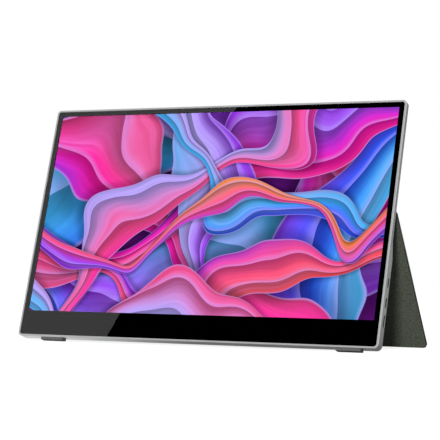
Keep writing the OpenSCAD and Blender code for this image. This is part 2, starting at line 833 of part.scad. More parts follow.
// Closed speaker box with its cone behind the sound slots
module speaker(x) {
    recess = 1.5;
    cap_r = 3;
    color([0.1, 0.1, 0.11]) set_up() translate([x, 0, speaker_z + speaker_h / 2]) {
        difference() {
            slab(speaker_front, speaker_back) square([speaker_w, speaker_h], center = true);
            slab(speaker_back - recess, speaker_back + past) circle(speaker_h / 2 - cone_rim);
        }
        slab(speaker_back - recess - snug, speaker_back - recess / 2) circle(cap_r);
    }
}

module speaker_left() {
    speaker(speaker_left_x);
}

module speaker_right() {
    speaker(speaker_right_x);
}

// Dust mesh between each speaker and the back wall
module speaker_mesh() {
    half_w = slot_count * slot_pitch / 2;
    half_h = slot_l / 2 + 1;
    color([0.05, 0.05, 0.05]) set_up() for (x = [speaker_left_x, speaker_right_x])
        translate([x, 0, speaker_z + speaker_h / 2]) slab(speaker_back, hump_in)
            rect(-half_w, -half_h, half_w, half_h);
}

// Flat wire pairs from the speakers to the main board
module speaker_leads() {
    pair_w = 2 * wire_t;
    z = speaker_z + speaker_h;
    color([0.6, 0.1, 0.1]) set_up() slab(board_back, board_back + wire_t)
        for (p = [[speaker_left_x, z + 4 * pair_w], [speaker_right_x, z + 2 * pair_w]]) {
            rect(p[0], z, p[0] + pair_w, p[1]);
            rect(p[0], p[1] - pair_w, main_x + lead_lap, p[1]);
        }
}

module housing_screws() {
    color([0.5, 0.5, 0.52]) set_up() for (x = screw_x) translate([x, 0, screw_z]) difference() {
        countersunk(screw_r, screw_head_r, screw_tip);
        translate([0, hump_t + past, 0]) rotate([90, 0, 0]) cylinder(h = past + 0.6, r = 0.7, $fn = 6);
    }
}

module board_screws() {
    head_t = 0.4;
    shank_l = pcb_t + 2.6;
    color([0.6, 0.6, 0.62]) set_up() for (p = concat(board_holes, key_holes))
        translate([p[0], board_front, p[1]]) rotate([90, 0, 0]) {
            cylinder(h = head_t, r = boss_r - 0.6);
            translate([0, 0, -shank_l]) cylinder(h = shank_l + snug, r = small_screw_r);
        }
}

module chin_magnets() {
    color([0.75, 0.75, 0.78]) set_up() for (x = magnet_x)
        translate([x, cell_front + magnet_t + magnet_gap, magnet_z]) rotate([90, 0, 0])
            cylinder(h = magnet_t, r = chin_magnet_r);
}

// Rubber feet, each with a flat cut along the table
module rubber_feet() {
    color([0.25, 0.26, 0.27]) intersection() {
        set_up() foot_blocks(0, -foot_h, foot_sink);
        translate([-body_w / 2, -depth, 0]) cube([body_w, depth * 2, depth]);
    }
}

module cover_tape() {
    color([0.2, 0.2, 0.2]) set_up() slab(thin_t, thin_t + tape_t)
        rect(tape_inset - cover_w / 2, back_z - strip_h + tape_inset, cover_w / 2 - tape_inset,
             back_z - tape_inset);
}

// Steel plate that the upper board's magnets hold to
module mount_plate() {
    color([0.6, 0.61, 0.63]) set_up() slab(thin_t + tape_t, thin_t + tape_t + plate_t)
        rect(hem - cover_w / 2, back_z - strip_h + hem, cover_w / 2 - hem, back_z - hem);
}

// Leather over the plate, down to the housing around it
module strip_leather() {
    g = hem - fit_gap;
    color([0.22, 0.24, 0.21]) set_up() difference() {
        band(thin_t, strip_face, back_z - strip_h, back_z);
        slab(thin_t - past, strip_face - leather_t)
            rect(g - cover_w / 2, back_z - strip_h + g, cover_w / 2 - g, back_z - g);
    }
}

// Leather turned back on itself where the cover leaves the strip
module back_fold() {
    inner = fold_offset;
    outer = fold_offset + leather_t;
    color([0.2, 0.22, 0.19]) set_up() {
        across(-cover_w / 2, cover_w / 2) translate([fold_y, back_z]) intersection() {
            difference() {
                circle(outer);
                circle(inner);
            }
            rect(-outer, 0, outer, outer);
        }
        band(fold_y + inner, fold_y + outer, back_z - end_gap, back_z);
    }
}

// Leather of the band that stands up the monitor's back when closed
module riser_leather() {
    color([0.22, 0.24, 0.21]) set_up() band(flap_y, upper_in, top_z + soft_gap, back_z - end_gap);
}

module riser_lining() {
    color([0.3, 0.3, 0.31]) set_up()
        band(upper_in, upper_in + lining_t, top_z + soft_gap, back_z - end_gap);
}

// Leather that bends at the monitor's upper back edge when closed
module top_fold() {
    color([0.2, 0.22, 0.19]) set_up() band(flap_y, upper_in, top_z - soft_gap, top_z + soft_gap);
}

// Leather of the band that lies over the top wall when closed
module spine_leather() {
    color([0.22, 0.24, 0.21]) set_up() band(flap_y, upper_in, front_z + soft_gap, top_z - soft_gap);
}

module spine_lining() {
    color([0.3, 0.3, 0.31]) set_up()
        band(upper_in, upper_in + lining_t, front_z + soft_gap, top_z - soft_gap);
}

// Leather that bends at the upper front edge when closed
module front_fold() {
    color([0.2, 0.22, 0.19]) set_up() band(flap_y, upper_in, front_z - soft_gap, front_z + soft_gap);
}

// Leather of the upper board: the face and the edges turned around the stiff board
module upper_leather() {
    color([0.22, 0.24, 0.21]) set_up() difference() {
        band(flap_y, flap_y + flap_t, crease_z + soft_gap, front_z - soft_gap);
        upper_pocket();
        upper_lining_space();
    }
}

// Space of the stiff board in the upper leather
module upper_pocket() {
    x = cover_w / 2 - leather_t;
    slab(upper_in, upper_in + board_t)
        rect(-x, crease_z + soft_gap + leather_t, x, front_z - soft_gap - leather_t);
}

// Space of the lining on the upper board's rear
module upper_lining_space() {
    y = upper_in + board_t;
    x = cover_w / 2 - turn_in;
    slab(y, y + lining_t) rect(-x, crease_z + soft_gap, x, front_z - soft_gap);
}

// Discs at the upper board's six magnets, which lie behind the steel plate
module upper_magnet_discs(t, r) {
    inset = board_magnet_r + 11;
    side = cover_w / 2 - board_magnet_r - 25;
    for (x = [-side, 0, side]) for (z = [crease_z + inset, front_z - inset])
        translate([x, upper_in + t, z]) rotate([90, 0, 0]) cylinder(h = t, r = r);
}

module upper_stiffener() {
    color([0.35, 0.33, 0.3]) set_up() difference() {
        upper_pocket();
        upper_magnet_discs(board_t + snug, board_magnet_r + magnet_gap);
    }
}

module upper_lining() {
    color([0.3, 0.3, 0.31]) set_up() upper_lining_space();
}

module upper_magnets() {
    color([0.75, 0.75, 0.78]) set_up() upper_magnet_discs(magnet_t, board_magnet_r);
}

// Leather bent around the crease, between the upper board and the soft strip
module crease_fold() {
    color([0.2, 0.22, 0.19]) set_up() {
        band(flap_y, upper_in, crease_z, crease_z + soft_gap);
        on_crease() band(fold_offset, leg_in, -crease_bend_l, 0);
    }
}

module crease_leather() {
    color([0.22, 0.24, 0.21]) set_up() on_crease()
        band(fold_offset, leg_in, strip_top, -crease_bend_l);
}

module crease_lining() {
    color([0.3, 0.3, 0.31]) set_up() on_crease()
        band(leg_in, leg_in + lining_t, strip_top, -crease_bend_l);
}

// Leather that bends between the soft strip and the leg
module leg_hinge_strip() {
    color([0.2, 0.22, 0.19]) set_up() on_crease()
        band(fold_offset, leg_in, leg_top, strip_top);
}

// Outline of the leg inside its edge by g and below its top by top_g, with round corners at its free end
module leg_outline(g, top_g) {
    w = cover_w - 2 * g;
    r = max(cover_r - g, 0.5);
    rect(-w / 2, g + r - leg_l, w / 2, leg_top - top_g);
    rect(r - w / 2, g - leg_l, w / 2 - r, g + r - leg_l);
    for (x = [r - w / 2, w / 2 - r]) translate([x, g + r - leg_l]) circle(r);
}

// Leather of the leg: the face and the edges turned around the stiff board
module leg_leather() {
    color([0.24, 0.26, 0.23]) set_up() on_crease() difference() {
        slab(fold_offset, fold_offset + flap_t) leg_outline(0, 0);
        leg_pocket();
        leg_lining_space();
    }
}

// Space of the stiff board in the leg's leather
module leg_pocket() {
    slab(leg_in, leg_in + board_t) leg_outline(leather_t, leather_t);
}

// Space of the lining on the leg's rear
module leg_lining_space() {
    slab(leg_in + board_t, leg_in + board_t + lining_t) leg_outline(turn_in, 0);
}

// Discs at the leg's magnets, which meet those in the chin when the cover is closed
module leg_magnet_discs(t, r) {
    for (x = magnet_x)
        translate([x, leg_in + board_t, magnet_z + cover_lap - leg_l]) rotate([90, 0, 0])
            cylinder(h = t, r = r);
}

module leg_stiffener() {
    color([0.35, 0.33, 0.3]) set_up() on_crease() difference() {
        leg_pocket();
        leg_magnet_discs(board_t, chin_magnet_r + magnet_gap);
    }
}

module leg_lining() {
    color([0.3, 0.3, 0.31]) set_up() on_crease() leg_lining_space();
}

module leg_magnets() {
    color([0.75, 0.75, 0.78]) set_up() on_crease() leg_magnet_discs(magnet_t, chin_magnet_r);
}

rear_housing();
mid_frame();
cover_glass();
border_tape();
clear_adhesive();
lcd_cell();
diffuser_films();
light_guide();
reflector_sheet();
led_bar();
panel_tray();
driver_board();
panel_flexes();
display_cable();
main_board();
board_chips();
shield_can();
heat_pad();
usb_socket_upper();
usb_socket_lower();
hdmi_socket();
socket_tongues();
audio_jack();
button_board();
tact_switches();
button_flex();
power_button();
menu_rocker();
speaker_left();
speaker_right();
speaker_mesh();
speaker_leads();
housing_screws();
board_screws();
chin_magnets();
rubber_feet();
cover_tape();
mount_plate();
strip_leather();
back_fold();
riser_leather();
riser_lining();
top_fold();
spine_leather();
spine_lining();
front_fold();
upper_leather();
upper_stiffener();
upper_lining();
upper_magnets();
crease_fold();
crease_leather();
crease_lining();
leg_hinge_strip();
leg_leather();
leg_stiffener();
leg_lining();
leg_magnets();
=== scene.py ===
"""Looks of a portable monitor that stands on its folding cover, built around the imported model.

The row frame is in metres: X to the right, Y to the back, Z up. Most pieces are drawn in one of two square
frames, the upright screen and the leg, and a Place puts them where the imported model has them.
"""
import json
import logging
import math
from dataclasses import dataclass, field, fields
from enum import Enum
from functools import cache
from typing import Sequence

import bmesh
import bpy
from mathutils import Matrix, Quaternion, Vector

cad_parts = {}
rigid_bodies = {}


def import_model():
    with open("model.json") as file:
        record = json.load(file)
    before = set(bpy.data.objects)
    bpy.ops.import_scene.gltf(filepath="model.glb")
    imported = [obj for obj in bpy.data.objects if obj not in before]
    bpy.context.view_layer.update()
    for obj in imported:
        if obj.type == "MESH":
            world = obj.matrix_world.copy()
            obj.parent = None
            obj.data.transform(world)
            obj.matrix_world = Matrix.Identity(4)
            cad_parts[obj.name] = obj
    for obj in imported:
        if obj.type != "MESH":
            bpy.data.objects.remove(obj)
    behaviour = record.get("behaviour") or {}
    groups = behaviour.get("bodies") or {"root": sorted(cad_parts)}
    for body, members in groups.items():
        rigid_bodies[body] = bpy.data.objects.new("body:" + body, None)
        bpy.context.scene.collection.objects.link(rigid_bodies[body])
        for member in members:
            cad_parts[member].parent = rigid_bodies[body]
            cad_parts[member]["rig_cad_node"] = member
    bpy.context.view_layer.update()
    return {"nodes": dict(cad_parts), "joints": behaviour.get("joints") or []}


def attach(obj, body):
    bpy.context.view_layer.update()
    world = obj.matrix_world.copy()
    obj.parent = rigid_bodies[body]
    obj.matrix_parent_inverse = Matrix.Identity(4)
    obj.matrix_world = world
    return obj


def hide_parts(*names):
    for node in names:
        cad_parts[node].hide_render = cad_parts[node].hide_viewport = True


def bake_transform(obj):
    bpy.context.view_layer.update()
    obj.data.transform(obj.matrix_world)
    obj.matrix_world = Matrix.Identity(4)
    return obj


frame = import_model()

LOG = logging.getLogger("monitor")
MM = 0.001
SHARP_ANGLE = math.radians(32)
BEVEL_ANGLE = math.radians(35)
FLAT_ANGLE = math.radians(0.5)
WELD = 0.001 * MM

Colour = tuple[float, float, float]
Piece = bpy.types.Object
Socket = bpy.types.NodeSocket


def tint(red: float, green: float, blue: float) -> Colour:
    """Turns a colour as a screen shows it, 0 to 255, into linear light.

    Args:
        red, green, blue: levels from 0 to 255.

    Returns:
        The three levels in linear light, 0 to 1.
    """
    def linear(level: float) -> float:
        """One level in linear light."""
        share = level / 255
        return share / 12.92 if share <= 0.04045 else ((share + 0.055) / 1.055) ** 2.4

    return linear(red), linear(green), linear(blue)


@dataclass(frozen=True)
class Ramp:
    """Smooth change between two places, and the levels that are held before and after it."""

    start: float
    end: float
    low: object = 0.0
    high: object = 1.0


class Wiring:
    """Short ways to add and join the nodes of one tree."""

    def __init__(self, tree: bpy.types.NodeTree) -> None:
        """Keeps the tree's nodes and links at hand."""
        self.nodes = tree.nodes
        self.links = tree.links

    def put(self, socket: Socket, value: object) -> None:
        """Joins a socket to another one, or gives it a plain value."""
        if isinstance(value, bpy.types.NodeSocket):
            self.links.new(value, socket)
        elif socket.type == "RGBA":
            socket.default_value = (*value, 1.0)
        else:
            socket.default_value = value

    def add(self, kind: str, inputs: dict[str | int, object] | None = None,
            **settings: object) -> bpy.types.Node:
        """Adds a node.

        Args:
            kind: Blender's name of the node type.
            inputs: what each named or numbered input gets.
            settings: attributes of the node itself.

        Returns:
            The new node.
        """
        node = self.nodes.new(kind)
        for name, value in settings.items():
            setattr(node, name, value)
        for key, value in (inputs or {}).items():
            self.put(node.inputs[key], value)
        return node

    def maths(self, operation: str, first: object, second: object = 0.0) -> Socket:
        """Result of one sum on two numbers."""
        return self.add("ShaderNodeMath", {0: first, 1: second}, operation=operation).outputs[0]

    def product(self, *factors: object) -> Socket:
        """Two or more numbers multiplied."""
        result = factors[0]
        for factor in factors[1:]:
            result = self.maths("MULTIPLY", result, factor)
        return result

    def weighed(self, share: float, first: object, second: object) -> Socket:
        """Share of one number and the rest of another."""
        return self.maths("ADD", self.product(first, share), self.product(second, 1 - share))

    def vector(self, *axes: object) -> Socket:
        """A vector of up to three numbers or sockets."""
        return self.add("ShaderNodeCombineXYZ", dict(enumerate(axes))).outputs[0]

    def vectors(self, operation: str, first: object, second: object) -> Socket:
        """Result of one sum on a vector and a second one, or a number where it is scaled."""
        place = 3 if operation == "SCALE" else 1
        return self.add("ShaderNodeVectorMath", {0: first, place: second}, operation=operation).outputs[0]

    def spread(self, value: object, ramp: Ramp) -> Socket:
        """Maps a number along a ramp."""
        inputs = {"Value": value, "From Min": ramp.start, "From Max": ramp.end,
                  "To Min": ramp.low, "To Max": ramp.high}
        return self.add("ShaderNodeMapRange", inputs, interpolation_type="SMOOTHSTEP").outputs[0]

    def mix(self, share: object, low: object, high: object, way: str = "MIX") -> Socket:
        """Mixes two colours."""
        node = self.add("ShaderNodeMix", {0: share, 6: low, 7: high}, data_type="RGBA", blend_type=way)
        return node.outputs[2]

    def dimmed(self, colour: object, level: Socket) -> Socket:
        """A colour times a level."""
        return self.mix(1.0, colour, self.vector(level, level, level), "MULTIPLY")


class Paint(Wiring):
    """One material that is being made, with patterns measured in metres on Object coordinates."""

    def __init__(self, name: str) -> None:
        """Starts an empty material of that name."""
        self.material = bpy.data.materials.new(name)
        self.material.use_nodes = True
        super().__init__(self.material.node_tree)
        self.nodes.clear()
        self.output = self.add("ShaderNodeOutputMaterial")
        self.coordinates = self.add("ShaderNodeTexCoord")
        self.place = self.coordinates.outputs["Object"]

    def stretched(self, stretch: Sequence[float]) -> Socket:
        """Object coordinates, scaled along each axis."""
        return self.add("ShaderNodeMapping", {"Vector": self.place, "Scale": tuple(stretch)}).outputs[0]

    def warped(self, where: Socket, size: float, reach: float) -> Socket:
        """Coordinates pushed about by up to half of reach, in swirls of about that size, both in metres."""
        inputs = {"Vector": where, "Scale": 1 / size, "Detail": 1.0}
        swirl = self.add("ShaderNodeTexNoise", inputs).outputs["Color"]
        return self.vectors("ADD", where, self.vectors("SCALE", swirl, reach))

    def noise(self, size: float, detail: float = 2, where: Socket | None = None) -> Socket:
        """Soft noise whose spots are about that size in metres."""
        inputs = {"Vector": where or self.place, "Scale": 1 / size, "Detail": detail}
        return self.add("ShaderNodeTexNoise", inputs).outputs[0]

    def cells(self, size: float, feature: str = "F1", where: Socket | None = None) -> Socket:
        """Distance pattern of cells of about that size in metres."""
        inputs = {"Vector": where or self.place, "Scale": 1 / size}
        return self.add("ShaderNodeTexVoronoi", inputs, feature=feature).outputs["Distance"]

    def waves(self, size: float, direction: str) -> Socket:
        """Parallel waves of that pitch in metres."""
        inputs = {"Vector": self.place, "Scale": math.pi / (10 * size)}
        return self.add("ShaderNodeTexWave", inputs, bands_direction=direction).outputs[1]

    def away(self) -> Socket:
        """Distance from the frame's origin."""
        return self.add("ShaderNodeVectorMath", {0: self.place}, operation="LENGTH").outputs["Value"]

    def bump(self, height: Socket, depth: float, below: Socket | None = None) -> Socket:
        """Normal of a relief of that depth in metres, over another relief's normal where one is given."""
        node = self.add("ShaderNodeBump", {"Height": height, "Distance": depth, "Strength": 1.0})
        if below:
            self.put(node.inputs["Normal"], below)
        return node.outputs[0]

    def end(self, shader: bpy.types.Node) -> bpy.types.Material:
        """Ends the material in that shader."""
        self.put(self.output.inputs["Surface"], shader.outputs[0])
        return self.material

    def glow(self, level: object) -> bpy.types.Node:
        """Plain light of that level."""
        return self.add("ShaderNodeEmission", {"Strength": level})

    def surface(self, **inputs: object) -> bpy.types.Material:
        """Ends the material in one shader.

        Args:
            inputs: the shader's inputs, each named in lower case with underscores.

        Returns:
            The finished material.
        """
        shader = self.add("ShaderNodeBsdfPrincipled")
        by_name = {socket.name.lower().replace(" ", "_"): socket for socket in shader.inputs}
        for name, value in inputs.items():
            self.put(by_name[name], value)
        return self.end(shader)


class Grain(Enum):
    """How the fine relief of a hard surface is laid out."""

    BLASTED = "blasted"
    BRUSHED = "brushed"
    MOULDED = "moulded"
    WOVEN = "woven"
    TRACED = "traced"


MOST_NOISE = (0.3, 0.7)
WIDE_NOISE = (0.25, 0.75)


@dataclass(frozen=True)
class Finish:
    """A hard surface: two tones of a colour, a range of roughness and a fine relief."""

    slot: str
    colour: Colour
    second: Colour
    roughness: tuple[float, float]
    grain: Grain = Grain.MOULDED
    size: float = 0.5 * MM
    relief: float = 0.01 * MM
    metallic: float = 0.0
    specular: float = 0.5
    coat: float = 0.0
    patch: float = 18 * MM
    brushing: tuple[float, float, float] = (0.02, 1.0, 1.0)
    trace_width: float = 0.08

    def pattern(self, paint: Paint) -> Socket:
        """Height of the relief, from 0 to 1."""
        if self.grain is Grain.BRUSHED:
            return paint.noise(self.size, 3, paint.stretched(self.brushing))
        if self.grain is Grain.WOVEN:
            return paint.maths("MAXIMUM", paint.waves(self.size, "X"), paint.waves(self.size, "Z"))
        if self.grain is Grain.TRACED:
            return paint.maths("LESS_THAN", paint.cells(self.size, "DISTANCE_TO_EDGE"), self.trace_width)
        if self.grain is Grain.BLASTED:
            return paint.cells(self.size, "SMOOTH_F1")
        return paint.noise(self.size, 4)

    @cache
    def material(self) -> bpy.types.Material:
        """The finish as a material, made once."""
        paint = Paint(self.slot)
        height = self.pattern(paint)
        patches = paint.noise(self.patch, 3)
        return paint.surface(
            base_color=paint.mix(paint.weighed(0.5, height, patches), self.colour, self.second),
            roughness=paint.spread(patches, Ramp(*MOST_NOISE, *self.roughness)),
            metallic=self.metallic,
            specular_ior_level=self.specular,
            coat_weight=self.coat,
            normal=paint.bump(height, self.relief),
        )


@dataclass(frozen=True)
class Leather:
    """Pressed leather with a pebble grain, worn a little lighter on its peaks and darker on its rounded edge.
    """

    slot: str
    colour: Colour
    edge_colour: Colour
    stretch: tuple[float, float, float] = (0.8, 1.0, 1.0)
    swirl: float = 5 * MM
    push: float = 1.1 * MM
    pebble: float = 2.3 * MM
    relief: float = 0.2 * MM
    valley: float = 0.16
    valley_shade: float = 0.6
    valley_relief: float = 0.5
    pore: float = 0.25 * MM
    pore_relief: float = 0.015 * MM
    patch: float = 25 * MM
    worn: tuple[float, float] = (0.8, 1.0)
    roughness: tuple[float, float] = (0.5, 0.66)

    @cache
    def material(self) -> bpy.types.Material:
        """The leather as a material, made once."""
        paint = Paint(self.slot)
        skin = paint.warped(paint.stretched(self.stretch), self.swirl, self.push)
        hills = paint.cells(self.pebble, "SMOOTH_F1", skin)
        valleys = paint.spread(paint.cells(self.pebble, "DISTANCE_TO_EDGE", skin), Ramp(0.0, self.valley))
        patches = paint.noise(self.patch, 3)
        tone = paint.product(valleys, paint.spread(patches, Ramp(*WIDE_NOISE, *self.worn)))
        dark = tuple(self.valley_shade * level for level in self.colour)
        edge = paint.add("ShaderNodeAttribute", attribute_name="edge", attribute_type="GEOMETRY")
        relief = paint.bump(hills, -self.relief)
        relief = paint.bump(valleys, self.valley_relief * self.relief, relief)
        relief = paint.bump(paint.noise(self.pore), self.pore_relief, relief)
        return paint.surface(
            base_color=paint.mix(edge.outputs["Fac"], paint.mix(tone, dark, self.colour), self.edge_colour),
            roughness=paint.spread(patches, Ramp(*MOST_NOISE, *self.roughness)),
            specular_ior_level=0.4,
            normal=relief,
        )


@dataclass(frozen=True)
class Microfibre:
    """Short grey nap that catches light at its rim, brushed lighter and darker in patches."""

    slot: str
    colour: Colour
    second: Colour
    nap: float = 0.35 * MM
    nap_share: float = 0.8
    stroke: float = 7 * MM
    stretch: tuple[float, float, float] = (0.6, 1.0, 1.0)
    relief: float = 0.05 * MM
    roughness: tuple[float, float] = (0.86, 1.0)

    @cache
    def material(self) -> bpy.types.Material:
        """The nap as a material, made once."""
        paint = Paint(self.slot)
        nap = paint.noise(self.nap, 4)
        strokes = paint.noise(self.stroke, 4, paint.stretched(self.stretch))
        tone = paint.spread(paint.weighed(self.nap_share, nap, strokes), Ramp(*MOST_NOISE))
        return paint.surface(
            base_color=paint.mix(tone, self.colour, self.second),
            roughness=paint.spread(nap, Ramp(*MOST_NOISE, *self.roughness)),
            sheen_weight=0.35,
            sheen_roughness=0.5,
            specular_ior_level=0.15,
            normal=paint.bump(nap, self.relief),
        )


@dataclass(frozen=True)
class Clear:
    """Clear glass or gel: smooth, with its own refraction."""

    slot: str
    index: float
    roughness: float = 0.0

    @cache
    def material(self) -> bpy.types.Material:
        """The clear body as a material, made once."""
        paint = Paint(self.slot)
        return paint.surface(
            base_color=(1.0, 1.0, 1.0),
            roughness=self.roughness,
            ior=self.index,
            transmission_weight=1.0,
        )


@dataclass(frozen=True)
class Ribbon:
    """One silky band across the picture. Lengths are shares of the picture's height."""

    turn: float
    place: float
    width: float
    bends: float
    swing: float
    phase: float
    near: Colour
    middle: Colour
    far: Colour


PINK = tint(255, 30, 170)
ROSE = tint(255, 84, 150)
VIOLET = tint(160, 60, 244)
PLUM = tint(110, 28, 140)
BLUE = tint(50, 90, 255)
SKY = tint(74, 188, 255)
LAVENDER = tint(188, 168, 255)
CORAL = tint(255, 84, 96)
AMBER = tint(255, 146, 60)


@dataclass(frozen=True)
class Wave:
    """Sine along a band: how fast it runs beside the band's own bends, and how far it swings."""

    pace: float
    swing: float


@dataclass(frozen=True)
class Silk:
    """How a band is bent, pleated and shaded. Across it, 1 is its edge."""

    ripple: Wave = Wave(2.3, 0.3)
    swell: Wave = Wave(1.4, 0.45)
    least_width: float = 0.75
    roll: Wave = Wave(0.6, 0.7)
    near_half: Ramp = Ramp(-1.1, 0.1)
    far_half: Ramp = Ramp(-0.1, 1.3)
    fibre_run: float = 1.5
    fibre_across: float = 5.0
    fibre_scale: float = 2.0
    fibre_tone: Ramp = Ramp(*WIDE_NOISE, 0.9, 1.08)
    gleam: Wave = Wave(0.8, 0.6)
    gleam_width: Ramp = Ramp(0.0, 0.55, 0.35, 0.0)
    pleats: float = 1.1
    pleat: Wave = Wave(0.7, 0.5)
    pleat_light: Ramp = Ramp(0.0, 0.22, 0.4, 0.0)
    pleat_tone: Ramp = Ramp(0.3, 1.0, 1.1, 0.5)
    side_tone: Ramp = Ramp(0.6, 1.0, 1.0, 0.8)
    rim_light: Ramp = Ramp(0.93, 0.985, 0.0, 0.55)
    cover: Ramp = Ramp(0.985, 1.0, 1.0, 0.0)
    shadow: Ramp = Ramp(1.0, 1.7, 0.55, 1.0)


@dataclass(frozen=True)
class LitPicture:
    """What the lit area shows: silky bands that cross and lie over each other."""

    slot: str = "lit_screen"
    aspect: float = 344.2 / 193.6
    drift_scale: float = 1.7
    drift_reach: float = 0.55
    silk: Silk = Silk()
    ribbons: tuple[Ribbon, ...] = (
        Ribbon(0.35, -0.50, 0.42, 2.3, 0.10, 0.4, BLUE, VIOLET, SKY),
        Ribbon(-0.55, 0.55, 0.36, 2.0, 0.12, 2.1, BLUE, SKY, LAVENDER),
        Ribbon(0.90, 0.70, 0.30, 2.9, 0.10, 4.0, VIOLET, PINK, CORAL),
        Ribbon(0.15, 0.42, 0.17, 3.1, 0.13, 1.2, LAVENDER, VIOLET, ROSE),
        Ribbon(-0.95, -0.62, 0.25, 2.6, 0.10, 5.2, SKY, BLUE, VIOLET),
        Ribbon(0.60, -0.18, 0.20, 3.4, 0.12, 3.3, VIOLET, PINK, ROSE),
        Ribbon(-0.30, 0.10, 0.15, 2.7, 0.16, 0.2, ROSE, PINK, VIOLET),
        Ribbon(1.25, -0.05, 0.15, 3.7, 0.10, 1.9, SKY, LAVENDER, VIOLET),
        Ribbon(0.05, -0.30, 0.11, 3.3, 0.14, 5.0, CORAL, ROSE, VIOLET),
        Ribbon(-0.70, 0.20, 0.10, 4.1, 0.11, 2.8, PINK, ROSE, LAVENDER),
        Ribbon(0.45, 0.22, 0.09, 3.9, 0.13, 4.4, BLUE, SKY, LAVENDER),
        Ribbon(0.20, -0.55, 0.12, 3.6, 0.12, 1.0, SKY, LAVENDER, ROSE),
        Ribbon(-0.10, -0.06, 0.06, 4.6, 0.15, 0.9, VIOLET, ROSE, AMBER),
    )

    def layer(self) -> bpy.types.ShaderNodeTree:
        """The group that lays one band over the colour below it."""
        tree = bpy.data.node_groups.new("ribbon", "ShaderNodeTree")
        kinds = {"NodeSocketVector": ("Point",), "NodeSocketColor": ("Below", "Near", "Middle", "Far"),
                 "NodeSocketFloat": ("Turn", "Place", "Width", "Bends", "Swing", "Phase")}
        for kind, names in kinds.items():
            for name in names:
                tree.interface.new_socket(name, in_out="INPUT", socket_type=kind)
        tree.interface.new_socket("Colour", in_out="OUTPUT", socket_type="NodeSocketColor")
        wiring = Wiring(tree)
        given = wiring.add("NodeGroupInput").outputs
        turned = wiring.add("ShaderNodeVectorRotate", {"Vector": given["Point"], "Angle": given["Turn"]},
                            rotation_type="Z_AXIS")
        axes = wiring.add("ShaderNodeSeparateXYZ", {0: turned.outputs[0]}).outputs
        run = wiring.maths("ADD", wiring.product(axes["X"], given["Bends"]), given["Phase"])

        def wave(shape: Wave) -> Socket:
            """The wave's height here."""
            return wiring.product(wiring.maths("SINE", wiring.product(run, shape.pace)), shape.swing)

        silk = self.silk
        bend = wiring.maths("ADD", wiring.maths("SINE", run), wave(silk.ripple))
        middle = wiring.maths("ADD", given["Place"], wiring.product(bend, given["Swing"]))
        width = wiring.product(given["Width"], wiring.maths("ADD", wave(silk.swell), silk.least_width))
        across = wiring.maths("DIVIDE", wiring.maths("SUBTRACT", axes["Y"], middle), width)
        distance = wiring.maths("ABSOLUTE", across)
        fibres = wiring.add("ShaderNodeTexNoise", {
            "Vector": wiring.vector(wiring.product(axes["X"], silk.fibre_run),
                                    wiring.product(across, silk.fibre_across)),
            "Scale": silk.fibre_scale, "Detail": 3.0}).outputs[0]
        roll = wiring.maths("ADD", across, wave(silk.roll))
        gleam = wiring.maths("ABSOLUTE", wiring.maths("SUBTRACT", across, wave(silk.gleam)))
        pleat = wiring.maths("ADD", wiring.product(across, silk.pleats), wave(silk.pleat))
        pleat = wiring.maths("FRACT", pleat)

        shade = wiring.mix(wiring.spread(roll, silk.near_half), given["Near"], given["Middle"])
        shade = wiring.mix(wiring.spread(roll, silk.far_half), shade, given["Far"])
        shade = wiring.mix(wiring.product(wiring.spread(gleam, silk.gleam_width), fibres), shade, LAVENDER)
        shade = wiring.mix(wiring.spread(pleat, silk.pleat_light), shade, LAVENDER)
        tones = ((distance, silk.side_tone), (pleat, silk.pleat_tone), (fibres, silk.fibre_tone))
        shade = wiring.dimmed(shade, wiring.product(*(wiring.spread(value, ramp) for value, ramp in tones)))
        shade = wiring.mix(wiring.spread(distance, silk.rim_light), shade, LAVENDER)
        below = wiring.dimmed(given["Below"], wiring.spread(distance, silk.shadow))
        wiring.add("NodeGroupOutput", {0: wiring.mix(wiring.spread(distance, silk.cover), below, shade)})
        return tree

    @cache
    def material(self) -> bpy.types.Material:
        """The picture as a material that gives light, made once."""
        paint = Paint(self.slot)
        centred = paint.add("ShaderNodeMapping", {
            "Vector": paint.coordinates.outputs["UV"],
            "Location": (-self.aspect / 2, -0.5, 0.0), "Scale": (self.aspect, 1.0, 1.0)}).outputs[0]
        swirl = {"Vector": centred, "Scale": self.drift_scale, "Detail": 1.0}
        drift = paint.add("ShaderNodeTexNoise", swirl).outputs["Color"]
        drift = paint.vectors("SUBTRACT", drift, (0.5, 0.5, 0.5))
        point = paint.vectors("ADD", centred, paint.vectors("SCALE", drift, self.drift_reach))
        group = self.layer()
        colour: object = PLUM
        for ribbon in self.ribbons:
            node = paint.add("ShaderNodeGroup", {"Point": point, "Below": colour}, node_tree=group)
            for part in fields(ribbon):
                paint.put(node.inputs[part.name.capitalize()], getattr(ribbon, part.name))
            colour = node.outputs[0]
        return paint.surface(base_color=(0.0, 0.0, 0.0), specular_ior_level=0.0, roughness=0.6,
                             emission_color=colour, emission_strength=1.0)


def brushed(slot: str, colour: Colour, second: Colour, roughness: tuple[float, float], size: float,
            relief: float = 0.01 * MM) -> Finish:
    """Brushed metal, with brush marks of that size."""
    return Finish(slot, colour, second, roughness, Grain.BRUSHED, size, relief, metallic=1.0)


